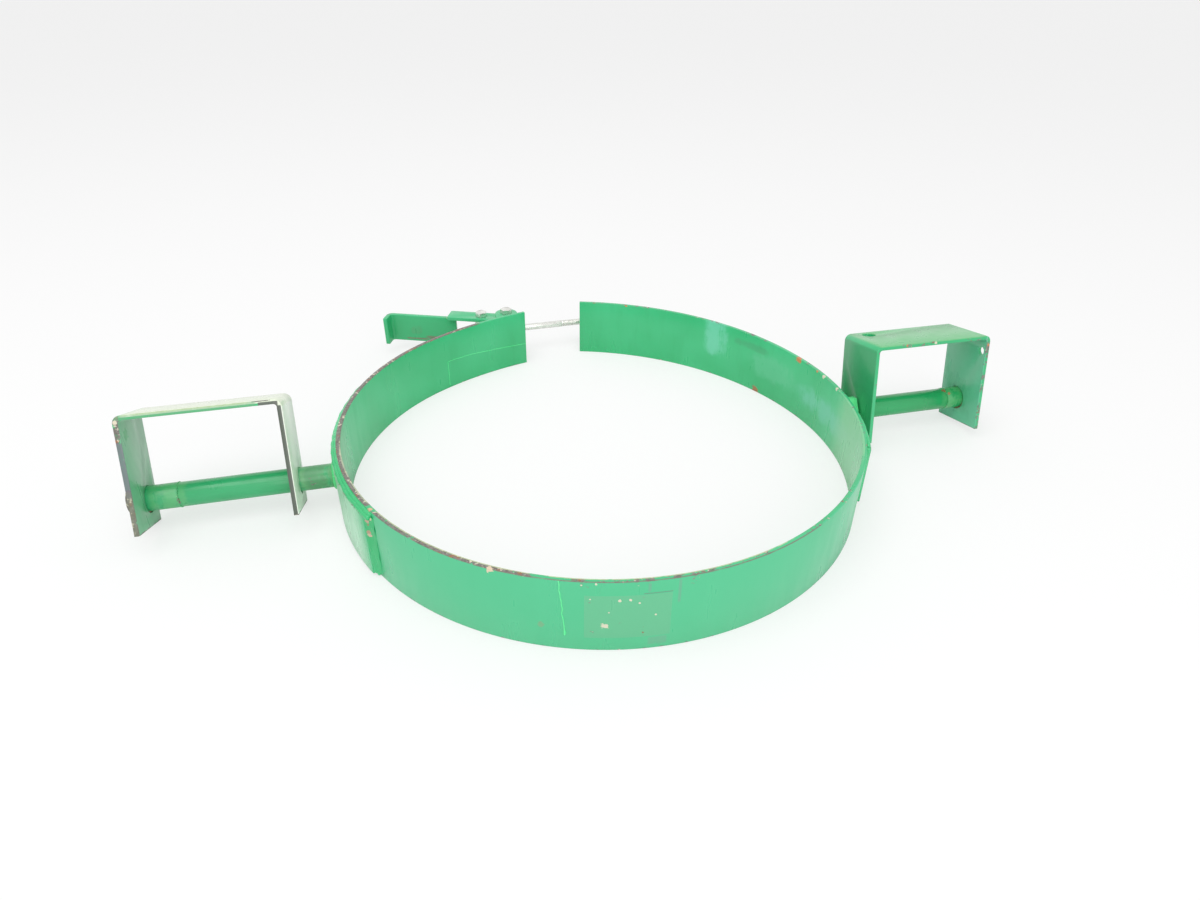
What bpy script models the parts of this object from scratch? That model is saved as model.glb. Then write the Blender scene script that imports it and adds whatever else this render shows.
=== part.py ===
"""Drum lifter: a clamping band for a steel drum, with a fork bracket on each trunnion.

X runs along the trunnions, +Y points to the clamp at the back, +Z is up. The model stands on
z = 0 and its origin is the bottom centre of the whole lifter.
"""

import math

import bmesh
import bpy
from mathutils import Matrix, Vector

GAP = 0.0003                      # kept between pieces that touch or are welded
RUNNING = 0.0004                  # radial clearance of a pin in its hole

# Band: three arcs, measured at the inner face; the ends spring out from the drum's circle
DRUM_RADIUS = 0.286
BAND_HEIGHT = 0.079
BAND_THICKNESS = 0.0048
LEFT_SPRING_ANGLE = 125.0         # where the left end leaves the drum's circle
LEFT_SPRING_RADIUS = 0.408
LEFT_SPRING_SWEEP = 19.7
RIGHT_SPRING_ANGLE = 8.8          # where the right end leaves it
RIGHT_SPRING_RADIUS = 0.333
RIGHT_SPRING_SWEEP = 64.93

# Saddle plates
SADDLE_HALF_ANGLE = 26.0
LEFT_SADDLE_SHIFT = 1.0           # the plates are welded this far round towards the front
RIGHT_SADDLE_SHIFT = 2.0
SADDLE_THICKNESS = 0.0055
SADDLE_LOW = 0.0022
SADDLE_HEIGHT = 0.0693

# Trunnion shafts
SHAFT_HEIGHT = 0.0353
SHAFT_RADIUS = 0.013
SHAFT_PLAY = 0.0392               # a fork bracket can slide this far along its shaft
SLEEVE_LENGTH = 0.0485
SLEEVE_PROUD = 0.0003             # the sleeve stands this far out from the bar
SPIGOT_STEP = 0.0015              # the bar is turned down by this under the sleeve
END_PIN_RADIUS = 0.0025
END_PIN_LENGTH = 0.042
END_PIN_INSET = 0.006
END_WASHER_RADIUS = 0.0205
END_WASHER_THICKNESS = 0.0025

# Fork brackets
BRACKET_WIDTH = 0.1539
BRACKET_DEPTH = 0.0713
BRACKET_LEG = 0.1201
BRACKET_PLATE = 0.0048
BRACKET_BEND = 0.008              # outer bend radius
BRACKET_HOLE_CLEARANCE = 0.0012
BRACKET_HOLE_DROP = 0.0008        # the bracket hangs with its hole on top of the shaft
WEB_HOLE_RADIUS = 0.008
WEB_HOLE_FROM_LEG = 0.0245
WEB_HOLE_FROM_REAR = 0.0140
LEG_HOLE_RADIUS = 0.0049
LEG_HOLE_FROM_FRONT = 0.0085
LEG_HOLE_FROM_TOP = 0.0208

RIGHT_BRACKET_PLAY = 0.0119       # outer leg to the end washer
RIGHT_BRACKET_DROP = 0.0303       # shaft centre to the ends of the legs
RIGHT_BRACKET_REAR = 0.0286       # shaft centre to the rear edge
LEFT_BRACKET_PLAY = 0.0022
LEFT_BRACKET_DROP = 0.0283
LEFT_BRACKET_REAR = 0.0237

# Clamp lever: a flat bar between two straps, which pivot on the ears and carry the draw rod
CLAMP_HEIGHT = 0.0353             # middle of the lever and of the draw rod
PIVOT_SET_BACK = 0.0129           # along the band from its left end
PIVOT_STANDOFF = 0.0312           # outwards from the band
LEVER_OPEN = 21.6                 # the handle stands this far out from the X axis
ROD_THROW = 0.0378                # pivot to rod bolt
STRAP_WIDTH = 0.0257
STRAP_THICKNESS = 0.0047
STRAP_REACH = 0.0863              # pivot to the square ends of the straps
STRAP_CORNER = 0.003
HANDLE_START = 0.0762             # pivot to the bar's end between the straps
HANDLE_REACH = 0.181              # pivot to the outside of the bent end
HANDLE_HEIGHT = 0.0406
HANDLE_THICKNESS = 0.0060
HANDLE_LIP = 0.0235               # outside length of the bent end
HANDLE_BEND = 0.009               # outer bend radius
EAR_HALF_WIDTH = 0.016
EAR_THICKNESS = 0.0063
EAR_CLEARANCE = 0.0008            # each ear lies this far above its strap

# Fasteners of the clamp
BOLT_RADIUS = 0.00476
HEX_APOTHEM = 0.00714             # half the width across flats
HEAD_HEIGHT = 0.0062
HEX_CHAMFER = 0.0009
NUT_HEIGHT = 0.0082
THIN_NUT_HEIGHT = 0.0055
THREAD_SHOWING = 0.0012           # bolt end beyond its nut
WASHER_RADIUS = 0.0103
WASHER_THICKNESS = 0.0016

# Draw rod and the lug that it drops into
ROD_RADIUS = 0.00476
ROD_END = 0.0265                  # thread beyond the lock nut
BARREL_RADIUS = 0.0095
BARREL_PLAY = 0.0005              # at each end of the barrel between the straps
LUG_SET_BACK = 0.01655            # along the band from its right end
LUG_STANDOFF = 0.0338             # the rod lies this far out from the band at the lug
LUG_THICKNESS = 0.0095
LUG_RIB_HEIGHT = 0.013
LUG_REACH_PAST_ROD = 0.011
LUG_SLOT_PLAY = 0.0010
CLAMP_SLACK = 0.0065              # between lug and rod washer, taken up as the lever closes
ROD_WASHER_RADIUS = 0.0127
ROD_WASHER_THICKNESS = 0.0025

ROUND = "round"
HEX = "hex"


def on_circle(angle, radius):
    """Point at an angle in degrees and a radius."""
    return Vector((radius * math.cos(math.radians(angle)), radius * math.sin(math.radians(angle))))


def off_band(arc, angle, along, standoff):
    """Point a standoff outside the band, a length along it from the angle."""
    centre, radius, _, _ = arc
    outer = radius + BAND_THICKNESS
    return centre + on_circle(angle + math.degrees(along / outer), outer + standoff)


# Arcs of the band's inner face: centre, radius, start angle and sweep, anticlockwise from the left end
LEFT_END = LEFT_SPRING_ANGLE - LEFT_SPRING_SWEEP
RIGHT_END = RIGHT_SPRING_ANGLE + RIGHT_SPRING_SWEEP
LEFT_ARC = (
    on_circle(LEFT_SPRING_ANGLE, DRUM_RADIUS - LEFT_SPRING_RADIUS),
    LEFT_SPRING_RADIUS,
    LEFT_END,
    LEFT_SPRING_SWEEP,
)
MAIN_ARC = (
    Vector((0, 0)),
    DRUM_RADIUS,
    LEFT_SPRING_ANGLE,
    360 + RIGHT_SPRING_ANGLE - LEFT_SPRING_ANGLE,
)
RIGHT_ARC = (
    on_circle(RIGHT_SPRING_ANGLE, DRUM_RADIUS - RIGHT_SPRING_RADIUS),
    RIGHT_SPRING_RADIUS,
    RIGHT_SPRING_ANGLE,
    RIGHT_SPRING_SWEEP,
)

# Trunnions: saddle plate, bracket with its play, washer and pin, one after the other
BAND_OUTER = DRUM_RADIUS + BAND_THICKNESS
SADDLE_OUTER = BAND_OUTER + GAP + SADDLE_THICKNESS
SPIGOT_RADIUS = SHAFT_RADIUS - SPIGOT_STEP
SLEEVE_INNER = SPIGOT_RADIUS + GAP
SLEEVE_RADIUS = SHAFT_RADIUS + SLEEVE_PROUD
WASHER_SEAT = SADDLE_OUTER + SHAFT_PLAY + BRACKET_WIDTH
END_PIN_REACH = WASHER_SEAT + END_WASHER_THICKNESS + GAP + END_PIN_RADIUS
SHAFT_REACH = END_PIN_REACH + END_PIN_INSET
RIGHT_BRACKET_INNER = WASHER_SEAT - RIGHT_BRACKET_PLAY - BRACKET_WIDTH
LEFT_BRACKET_INNER = WASHER_SEAT - LEFT_BRACKET_PLAY - BRACKET_WIDTH

# Clamp: the pivot stands off the band's left end, and the rod runs from the lever to the lug
PIVOT = off_band(LEFT_ARC, LEFT_END, PIVOT_SET_BACK, PIVOT_STANDOFF)
LUG = off_band(RIGHT_ARC, RIGHT_END, -LUG_SET_BACK, LUG_STANDOFF)
STRAP_LOW = HANDLE_HEIGHT / 2 + GAP   # inner face of a strap, from the lever's middle
LEVER_AXIS = Vector((-math.cos(math.radians(LEVER_OPEN)), math.sin(math.radians(LEVER_OPEN))))
LEVER_SIDE = Vector((-LEVER_AXIS.y, LEVER_AXIS.x))
ROD_PIVOT = PIVOT + LEVER_AXIS * ROD_THROW
ROD_LENGTH_TO_LUG = (LUG - ROD_PIVOT).length
ROD_ANGLE = math.atan2(LUG.y - ROD_PIVOT.y, LUG.x - ROD_PIVOT.x)

# The box's centre lies between the band's front and the back of the handle's bend
BEND_CENTRE = PIVOT + LEVER_AXIS * (HANDLE_REACH - HANDLE_BEND) + LEVER_SIDE * (HANDLE_BEND - HANDLE_THICKNESS / 2)
RING_SHIFT = (BEND_CENTRE.y + HANDLE_BEND - BAND_OUTER) / 2


def clear_scene():
    for item in list(bpy.data.objects):
        bpy.data.objects.remove(item, do_unlink=True)


def material(name, colour, roughness, metallic):
    made = bpy.data.materials.new(name)
    made.use_nodes = True
    shader = made.node_tree.nodes["Principled BSDF"]
    shader.inputs["Base Color"].default_value = (*colour, 1)
    shader.inputs["Roughness"].default_value = roughness
    shader.inputs["Metallic"].default_value = metallic
    return made


def green_paint(name):
    return material(name, (0.06, 0.42, 0.17), 0.42, 0.0)


def bright_zinc(name):
    return material(name, (0.62, 0.61, 0.58), 0.35, 0.9)


def dark_steel(name):
    return material(name, (0.20, 0.17, 0.15), 0.55, 0.7)


def empty(name, location, turn=(0, 0, 0), parent=None):
    made = bpy.data.objects.new(name, None)
    bpy.context.collection.objects.link(made)
    made.location = location
    made.rotation_euler = turn
    made.parent = parent
    return made


def piece(name, bm, finish, parent, location=(0, 0, 0), turn=(0, 0, 0)):
    """Turn a bmesh into a named object with its own material."""
    bmesh.ops.recalc_face_normals(bm, faces=bm.faces)
    mesh = bpy.data.meshes.new(name)
    bm.to_mesh(mesh)
    bm.free()
    mesh.shade_smooth()
    mesh.set_sharp_from_angle(angle=math.radians(30))
    made = bpy.data.objects.new(name, mesh)
    bpy.context.collection.objects.link(made)
    mesh.materials.append(finish(name + "_finish"))
    made.location = location
    made.rotation_euler = turn
    made.parent = parent
    return made


def cut(target, name, bm, location=(0, 0, 0), turn=(0, 0, 0)):
    """Subtract a shape, placed in the target's own space."""
    bmesh.ops.recalc_face_normals(bm, faces=bm.faces)
    mesh = bpy.data.meshes.new(name)
    bm.to_mesh(mesh)
    bm.free()
    cutter = bpy.data.objects.new(name, mesh)
    bpy.context.collection.objects.link(cutter)
    cutter.parent = target
    cutter.location = location
    cutter.rotation_euler = turn
    cutter.hide_render = True
    cutter.display_type = "WIRE"
    boolean = target.modifiers.new(name, "BOOLEAN")
    boolean.operation = "DIFFERENCE"
    boolean.solver = "EXACT"
    boolean.object = cutter


def soften(target, width, segments=1):
    """Small rounding along every edge of a bar or plate."""
    bevel = target.modifiers.new("edges", "BEVEL")
    bevel.width = width
    bevel.segments = segments
    bevel.limit_method = "ANGLE"
    bevel.angle_limit = math.radians(50)
    bevel.use_clamp_overlap = True


def lathe(levels, steps=32, hollow=False):
    """Profile of (outline, size, z) levels turned about Z; a hexagon's size is its apothem."""
    bm = bmesh.new()
    profile = [bm.verts.new((size, 0, z)) for _, size, z in levels]
    followers = profile[1:] + (profile[:1] if hollow else [])
    edges = [bm.edges.new(pair) for pair in zip(profile, followers)]
    bmesh.ops.spin(
        bm,
        geom=profile + edges,
        cent=(0, 0, 0),
        axis=(0, 0, 1),
        angle=math.tau,
        steps=steps,
        use_merge=True,
    )
    if not hollow:
        bmesh.ops.holes_fill(bm, edges=[edge for edge in bm.edges if edge.is_boundary], sides=0)
    hexagons = [Vector((size, z)) for outline, size, z in levels if outline == HEX]
    for vert in bm.verts:
        place = Vector((vert.co.xy.length, vert.co.z))
        if any((place - level).length < 1e-6 for level in hexagons):
            turn = math.atan2(vert.co.y, vert.co.x) % math.radians(60) - math.radians(30)
            vert.co.xy /= math.cos(turn)
    return bm


def rod(radius, low, high, steps=32):
    return lathe([(ROUND, radius, low), (ROUND, radius, high)], steps)


def tube(inner, outer, low, high, steps=32):
    levels = [(ROUND, inner, low), (ROUND, outer, low), (ROUND, outer, high), (ROUND, inner, high)]
    return lathe(levels, steps, hollow=True)


def hex_bolt(length):
    """Head above z = 0, shank below."""
    return lathe([
        (ROUND, BOLT_RADIUS, -length),
        (ROUND, BOLT_RADIUS, 0),
        (HEX, HEX_APOTHEM, 0),
        (HEX, HEX_APOTHEM, HEAD_HEIGHT - HEX_CHAMFER),
        (ROUND, HEX_APOTHEM, HEAD_HEIGHT),
    ], steps=24)


def hex_nut(height, bore):
    """Nut from z = 0 up."""
    return lathe([
        (ROUND, bore, 0),
        (ROUND, HEX_APOTHEM, 0),
        (HEX, HEX_APOTHEM, HEX_CHAMFER),
        (HEX, HEX_APOTHEM, height - HEX_CHAMFER),
        (ROUND, HEX_APOTHEM, height),
        (ROUND, bore, height),
    ], steps=24, hollow=True)


def bent_bar(arcs, offset, thickness, low, high, step=3):
    """Flat bar bent along arcs, its inner face offset outwards from them."""
    bm = bmesh.new()
    centre, radius, start, _ = arcs[0]
    inner = centre + on_circle(start, radius + offset)
    outer = centre + on_circle(start, radius + offset + thickness)
    corners = [(inner, low), (outer, low), (outer, high), (inner, high)]
    face = bm.faces.new([bm.verts.new((*point, z)) for point, z in corners])
    section = [face, *face.edges, *face.verts]
    for centre, _, _, sweep in arcs:
        section = bmesh.ops.spin(
            bm,
            geom=section,
            cent=(*centre, 0),
            axis=(0, 0, 1),
            angle=math.radians(sweep),
            steps=max(1, round(sweep / step)),
        )["geom_last"]
    return bm


def rounded_path(corners, radius, steps=6):
    """Polyline through 2D corners, each inner corner turned by an arc of the given radius."""
    points = [Vector(corners[0])]
    for before, corner, after in zip(corners, corners[1:], corners[2:]):
        corner = Vector(corner)
        back = (Vector(before) - corner).normalized()
        ahead = (Vector(after) - corner).normalized()
        half = back.angle(ahead) / 2
        centre = corner + (back + ahead).normalized() * radius / math.sin(half)
        start = corner + back * radius / math.tan(half) - centre
        turn = (math.pi - 2 * half) * (1 if back.cross(ahead) < 0 else -1)
        points += [centre + Matrix.Rotation(turn * i / steps, 2) @ start for i in range(steps + 1)]
    return points + [Vector(corners[-1])]


def strip_outline(path, thickness):
    """Closed outline of a strip that follows a path."""
    left, right = [], []
    for i, point in enumerate(path):
        along = path[min(i + 1, len(path) - 1)] - path[max(i - 1, 0)]
        across = Vector((-along.y, along.x)).normalized() * thickness / 2
        left.append(point + across)
        right.append(point - across)
    return left + right[::-1]


def plate(outline, low, high):
    """Flat outline in X and Y, extruded from low to high in Z."""
    bm = bmesh.new()
    face = bm.faces.new([bm.verts.new((*point, low)) for point in outline])
    extruded = bmesh.ops.extrude_face_region(bm, geom=[face])["geom"]
    moved = [item for item in extruded if isinstance(item, bmesh.types.BMVert)]
    bmesh.ops.translate(bm, verts=moved, vec=(0, 0, high - low))
    return bm


def turned_bmesh(bm, matrix):
    bmesh.ops.transform(bm, matrix=matrix, verts=bm.verts)
    return bm


def outer_edge_on(arc, x):
    """Y of an arc's outer band face, plus the weld gap, at X on its rear side."""
    centre, radius, _, _ = arc
    reach = radius + BAND_THICKNESS + GAP
    return centre.y + math.sqrt(reach**2 - (x - centre.x) ** 2)


def plate_on_band(arc, x_low, x_high, far_side, steps=8):
    """Outline that starts on the band's outer face and ends with the given far side."""
    xs = [x_high + (x_low - x_high) * i / steps for i in range(steps + 1)]
    return [Vector((x, outer_edge_on(arc, x))) for x in xs] + far_side


def make_band(ring):
    band = piece(
        "ring_band",
        bent_bar([LEFT_ARC, MAIN_ARC, RIGHT_ARC], 0, BAND_THICKNESS, 0, BAND_HEIGHT),
        green_paint,
        ring,
    )
    soften(band, 0.0006)
    share = DRUM_RADIUS / RIGHT_SPRING_RADIUS
    left_start = 180 + LEFT_SADDLE_SHIFT - SADDLE_HALF_ANGLE
    left = [(Vector((0, 0)), DRUM_RADIUS, left_start, 2 * SADDLE_HALF_ANGLE)]
    right_start = -RIGHT_SADDLE_SHIFT - SADDLE_HALF_ANGLE
    sprung = 2 * SADDLE_HALF_ANGLE + right_start - RIGHT_SPRING_ANGLE
    right = [
        (Vector((0, 0)), DRUM_RADIUS, right_start, RIGHT_SPRING_ANGLE - right_start),
        (RIGHT_ARC[0], RIGHT_ARC[1], RIGHT_SPRING_ANGLE, sprung * share),
    ]
    for name, arcs in (("left_saddle_plate", left), ("right_saddle_plate", right)):
        saddle = piece(
            name,
            bent_bar(arcs, BAND_THICKNESS + GAP, SADDLE_THICKNESS, SADDLE_LOW, SADDLE_LOW + SADDLE_HEIGHT),
            green_paint,
            ring,
        )
        soften(saddle, 0.0008)


def make_shaft(ring, name, side):
    """Shaft, sleeve, washer and pin of one side, modelled along +Z and laid along X."""
    trunnion = empty(name + "_trunnion", (0, 0, SHAFT_HEIGHT), (0, side * math.pi / 2, 0), ring)
    pin_turn = (0, math.pi / 2, 0)
    sleeve_start = SHAFT_REACH - SLEEVE_LENGTH
    stepped = lathe([
        (ROUND, SHAFT_RADIUS, SADDLE_OUTER + GAP),
        (ROUND, SHAFT_RADIUS, sleeve_start - GAP),
        (ROUND, SPIGOT_RADIUS, sleeve_start - GAP),
        (ROUND, SPIGOT_RADIUS, SHAFT_REACH),
    ])
    shaft = piece(name + "_shaft", stepped, green_paint, trunnion)
    sleeve = piece(
        name + "_shaft_sleeve",
        tube(SLEEVE_INNER, SLEEVE_RADIUS, sleeve_start, SHAFT_REACH),
        green_paint,
        trunnion,
    )
    for part in (shaft, sleeve):
        hole = rod(END_PIN_RADIUS + GAP, -END_PIN_LENGTH, END_PIN_LENGTH, 16)
        cut(part, part.name + "_pin_hole", hole, (0, 0, END_PIN_REACH), pin_turn)
    pin = rod(END_PIN_RADIUS, -END_PIN_LENGTH / 2, END_PIN_LENGTH / 2, 16)
    piece(name + "_end_pin", pin, dark_steel, trunnion, (0, 0, END_PIN_REACH), pin_turn)
    washer = tube(SLEEVE_RADIUS + GAP, END_WASHER_RADIUS, 0, END_WASHER_THICKNESS)
    piece(name + "_end_washer", washer, dark_steel, trunnion, (0, 0, WASHER_SEAT))


def lean_onto_floor(drop, rear):
    """Angle at which the rear corner of a leg reaches the floor behind the shaft."""
    reach = math.hypot(drop, rear)
    return math.atan2(rear, drop) - math.acos(min(1, SHAFT_HEIGHT / reach))


def make_bracket(ring, name, side, inner, drop, rear):
    """Fork bracket, hung on its shaft and leaning back until its rear corner is on the floor."""
    swing = empty(name + "_swing", (0, 0, SHAFT_HEIGHT), (-lean_onto_floor(drop, rear), 0, 0), ring)
    half = BRACKET_PLATE / 2
    top = BRACKET_LEG - drop
    outer = inner + BRACKET_WIDTH
    corners = [
        (side * (inner + half), -drop),
        (side * (inner + half), top - half),
        (side * (outer - half), top - half),
        (side * (outer - half), -drop),
    ]
    outline = strip_outline(rounded_path(corners, BRACKET_BEND - half), BRACKET_PLATE)
    bm = plate(outline, -rear, BRACKET_DEPTH - rear)
    turned_bmesh(bm, Matrix.Rotation(math.pi / 2, 4, "X"))
    bracket = piece(name + "_fork_bracket", bm, green_paint, swing)
    bore = rod(SLEEVE_RADIUS + BRACKET_HOLE_CLEARANCE, inner - BRACKET_PLATE, outer + BRACKET_PLATE, 40)
    cut(bracket, name + "_bore", bore, (0, 0, -BRACKET_HOLE_DROP), (0, side * math.pi / 2, 0))
    return bracket


def drill_bracket(bracket, inner, drop, rear):
    """Small holes in the right bracket's web and outer leg."""
    half = BRACKET_PLATE / 2
    top = BRACKET_LEG - drop
    web_hole = rod(WEB_HOLE_RADIUS, -BRACKET_PLATE, BRACKET_PLATE, 28)
    cut(bracket, "web_hole", web_hole, (inner + WEB_HOLE_FROM_LEG, rear - WEB_HOLE_FROM_REAR, top - half))
    leg_hole = rod(LEG_HOLE_RADIUS, -BRACKET_PLATE, BRACKET_PLATE, 24)
    leg_at = (
        inner + BRACKET_WIDTH - half,
        rear - BRACKET_DEPTH + LEG_HOLE_FROM_FRONT,
        top - LEG_HOLE_FROM_TOP,
    )
    cut(bracket, "leg_hole", leg_hole, leg_at, (0, math.pi / 2, 0))


def make_ears(ring):
    """Two ears on the band's left end, each over a strap and joined to it by a short bolt."""
    tip = [PIVOT + on_circle(180 - 180 * i / 16, EAR_HALF_WIDTH) for i in range(17)]
    outline = plate_on_band(LEFT_ARC, PIVOT.x - EAR_HALF_WIDTH, PIVOT.x + EAR_HALF_WIDTH, tip)
    for name, strap_low in (("upper", STRAP_LOW), ("lower", -STRAP_LOW - STRAP_THICKNESS)):
        pivot = empty(name + "_pivot", (*PIVOT, CLAMP_HEIGHT + strap_low), (0, 0, 0), ring)
        ear_low = STRAP_THICKNESS + EAR_CLEARANCE
        ear_high = ear_low + EAR_THICKNESS
        on_pivot = [point - PIVOT for point in outline]
        ear = piece(name + "_clamp_ear", plate(on_pivot, ear_low, ear_high), green_paint, pivot)
        hole = rod(BOLT_RADIUS + RUNNING, 0, 2 * ear_high, 24)
        cut(ear, name + "_ear_hole", hole)
        soften(ear, 0.0005)
        nut_low = -GAP - THIN_NUT_HEIGHT
        head = ear_high + GAP
        bolt = hex_bolt(head - nut_low + THREAD_SHOWING)
        piece(name + "_pivot_bolt", bolt, bright_zinc, pivot, (0, 0, head), (0, 0, 0.35))
        nut = hex_nut(THIN_NUT_HEIGHT, BOLT_RADIUS + GAP)
        piece(name + "_pivot_nut", nut, bright_zinc, pivot, (0, 0, nut_low))


def make_straps(lever):
    """Flat straps above and below the bar, round at the pivot and square at the handle."""
    half = STRAP_WIDTH / 2
    nose = [on_circle(90 + 180 * i / 16, half) for i in range(17)]
    square = rounded_path(
        [(0, -half), (STRAP_REACH, -half), (STRAP_REACH, half), (0, half)],
        STRAP_CORNER,
        3,
    )
    for name, low in (("upper", STRAP_LOW), ("lower", -STRAP_LOW - STRAP_THICKNESS)):
        bm = plate(nose + square[1:-1], low, low + STRAP_THICKNESS)
        strap = piece(name + "_lever_strap", bm, green_paint, lever)
        for pin, x in (("pivot", 0), ("rod", ROD_THROW)):
            hole = rod(BOLT_RADIUS + RUNNING, low - STRAP_THICKNESS, low + 2 * STRAP_THICKNESS, 24)
            cut(strap, name + "_strap_" + pin + "_hole", hole, (x, 0, 0))
        soften(strap, 0.0005)


def make_handle(lever):
    """Upright flat bar from between the straps, its end bent towards the ring."""
    half = HANDLE_THICKNESS / 2
    corners = [
        (HANDLE_START, 0),
        (HANDLE_REACH - half, 0),
        (HANDLE_REACH - half, HANDLE_LIP - half),
    ]
    outline = strip_outline(rounded_path(corners, HANDLE_BEND - half), HANDLE_THICKNESS)
    bm = plate(outline, -HANDLE_HEIGHT / 2, HANDLE_HEIGHT / 2)
    handle = piece("lever_handle", bm, green_paint, lever)
    soften(handle, 0.0008)


def make_rod_bolt(lever):
    """Bolt that carries the draw rod, with its washer and nut under the lower strap."""
    at_rod = empty("rod_bolt_axis", (ROD_THROW, 0, 0), (0, 0, 0), lever)
    head = STRAP_LOW + STRAP_THICKNESS + GAP
    washer_low = -head - WASHER_THICKNESS
    nut_low = washer_low - GAP - THIN_NUT_HEIGHT
    bolt = hex_bolt(head - nut_low + THREAD_SHOWING)
    piece("rod_bolt", bolt, bright_zinc, at_rod, (0, 0, head), (0, 0, 0.12))
    washer = tube(BOLT_RADIUS + GAP, WASHER_RADIUS, washer_low, washer_low + WASHER_THICKNESS, 28)
    piece("rod_bolt_washer", washer, bright_zinc, at_rod)
    nut = hex_nut(THIN_NUT_HEIGHT, BOLT_RADIUS + GAP)
    piece("rod_bolt_nut", nut, bright_zinc, at_rod, (0, 0, nut_low))


def make_draw_rod(swing):
    """Barrel on the rod bolt, rod along +X, and the parts on its thread."""
    half = STRAP_LOW - BARREL_PLAY
    barrel = tube(BOLT_RADIUS + RUNNING, BARREL_RADIUS, -half, half, 28)
    piece("rod_barrel", barrel, bright_zinc, swing)
    along = (0, math.pi / 2, 0)
    washer_low = ROD_LENGTH_TO_LUG + LUG_THICKNESS / 2 + CLAMP_SLACK
    nut_low = washer_low + ROD_WASHER_THICKNESS + GAP
    lock_low = nut_low + NUT_HEIGHT + GAP
    rod_end = lock_low + THIN_NUT_HEIGHT + ROD_END
    piece("draw_rod", rod(ROD_RADIUS, BARREL_RADIUS + GAP, rod_end, 24), bright_zinc, swing, turn=along)
    washer = tube(ROD_RADIUS + GAP, ROD_WASHER_RADIUS, washer_low, washer_low + ROD_WASHER_THICKNESS, 28)
    piece("rod_washer", washer, bright_zinc, swing, turn=along)
    bore = ROD_RADIUS + GAP
    piece("tension_nut", hex_nut(NUT_HEIGHT, bore), bright_zinc, swing, (nut_low, 0, 0), along)
    piece("lock_nut", hex_nut(THIN_NUT_HEIGHT, bore), bright_zinc, swing, (lock_low, 0, 0), along)


def make_lug(ring):
    """Two ribs on the band's right end; the rod drops into the slot between them."""
    x_low = LUG.x - LUG_THICKNESS / 2
    x_high = LUG.x + LUG_THICKNESS / 2
    far = LUG.y + LUG_REACH_PAST_ROD
    outline = plate_on_band(RIGHT_ARC, x_low, x_high, [Vector((x_low, far)), Vector((x_high, far))], 4)
    slot = ROD_RADIUS + LUG_SLOT_PLAY
    for name, low in (("upper", slot), ("lower", -slot - LUG_RIB_HEIGHT)):
        bm = plate(outline, CLAMP_HEIGHT + low, CLAMP_HEIGHT + low + LUG_RIB_HEIGHT)
        soften(piece(name + "_lug_rib", bm, green_paint, ring), 0.0006)


def main():
    clear_scene()
    ring = empty("ring_centre", (0, -RING_SHIFT, 0))
    make_band(ring)
    make_ears(ring)
    make_lug(ring)
    make_shaft(ring, "left", -1)
    make_shaft(ring, "right", 1)
    left_sizes = (LEFT_BRACKET_INNER, LEFT_BRACKET_DROP, LEFT_BRACKET_REAR)
    right_sizes = (RIGHT_BRACKET_INNER, RIGHT_BRACKET_DROP, RIGHT_BRACKET_REAR)
    left_bracket = make_bracket(ring, "left", -1, *left_sizes)
    right_bracket = make_bracket(ring, "right", 1, *right_sizes)
    drill_bracket(right_bracket, *right_sizes)
    for bracket in (left_bracket, right_bracket):
        soften(bracket, 0.0007)
    lever_turn = math.atan2(LEVER_AXIS.y, LEVER_AXIS.x)
    lever = empty("lever_pivot", (*PIVOT, CLAMP_HEIGHT), (0, 0, lever_turn), ring)
    make_straps(lever)
    make_handle(lever)
    make_rod_bolt(lever)
    swing = empty("rod_pivot", (ROD_THROW, 0, 0), (0, 0, ROD_ANGLE - lever_turn), lever)
    make_draw_rod(swing)


main()
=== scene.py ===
"""Looks of the drum lifter: a worn green clamping band with a fork bracket on each side.

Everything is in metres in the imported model's frame: X along the shafts, +Y to the clamp at the back, Z up.
"""

import math

import bmesh
import bpy
from mathutils import Matrix, Vector, noise


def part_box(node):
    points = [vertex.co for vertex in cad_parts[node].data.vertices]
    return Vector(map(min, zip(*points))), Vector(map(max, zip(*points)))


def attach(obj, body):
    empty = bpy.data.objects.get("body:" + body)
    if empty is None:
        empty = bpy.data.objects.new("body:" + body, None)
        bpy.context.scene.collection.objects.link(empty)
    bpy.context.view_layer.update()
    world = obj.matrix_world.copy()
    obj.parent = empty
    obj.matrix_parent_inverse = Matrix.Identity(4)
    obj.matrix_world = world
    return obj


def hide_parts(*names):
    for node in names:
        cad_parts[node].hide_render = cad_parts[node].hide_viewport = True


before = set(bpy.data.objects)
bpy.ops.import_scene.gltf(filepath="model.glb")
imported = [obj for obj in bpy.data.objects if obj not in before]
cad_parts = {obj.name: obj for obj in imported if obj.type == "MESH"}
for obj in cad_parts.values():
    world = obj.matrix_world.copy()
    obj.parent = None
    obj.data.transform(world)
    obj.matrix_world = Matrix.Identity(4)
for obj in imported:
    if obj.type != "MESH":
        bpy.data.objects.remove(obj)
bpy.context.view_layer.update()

# Ring and saddle plates
RING = Vector((0, -0.050198, 0))          # centre of the drum's circle on the floor
DRUM_RADIUS = 0.286
BAND_HEIGHT = 0.079
BAND_THICKNESS = 0.0048
LEFT_SPRING = (125.0, 0.408, 19.7)        # angle where the end leaves the circle, radius, sweep
RIGHT_SPRING = (8.8, 0.333, 64.93)
ARC_STEP = 1.5                            # degrees from one upright edge of the strip to the next
WELD_GAP = 0.0003
LEFT_SADDLE = (155.0, 52.0)               # start angle, sweep
RIGHT_SADDLE = (-28.0, 52.0)
SADDLE_THICKNESS = 0.0055
SADDLE_LOW = 0.0022
SADDLE_HIGH = 0.0715

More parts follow.
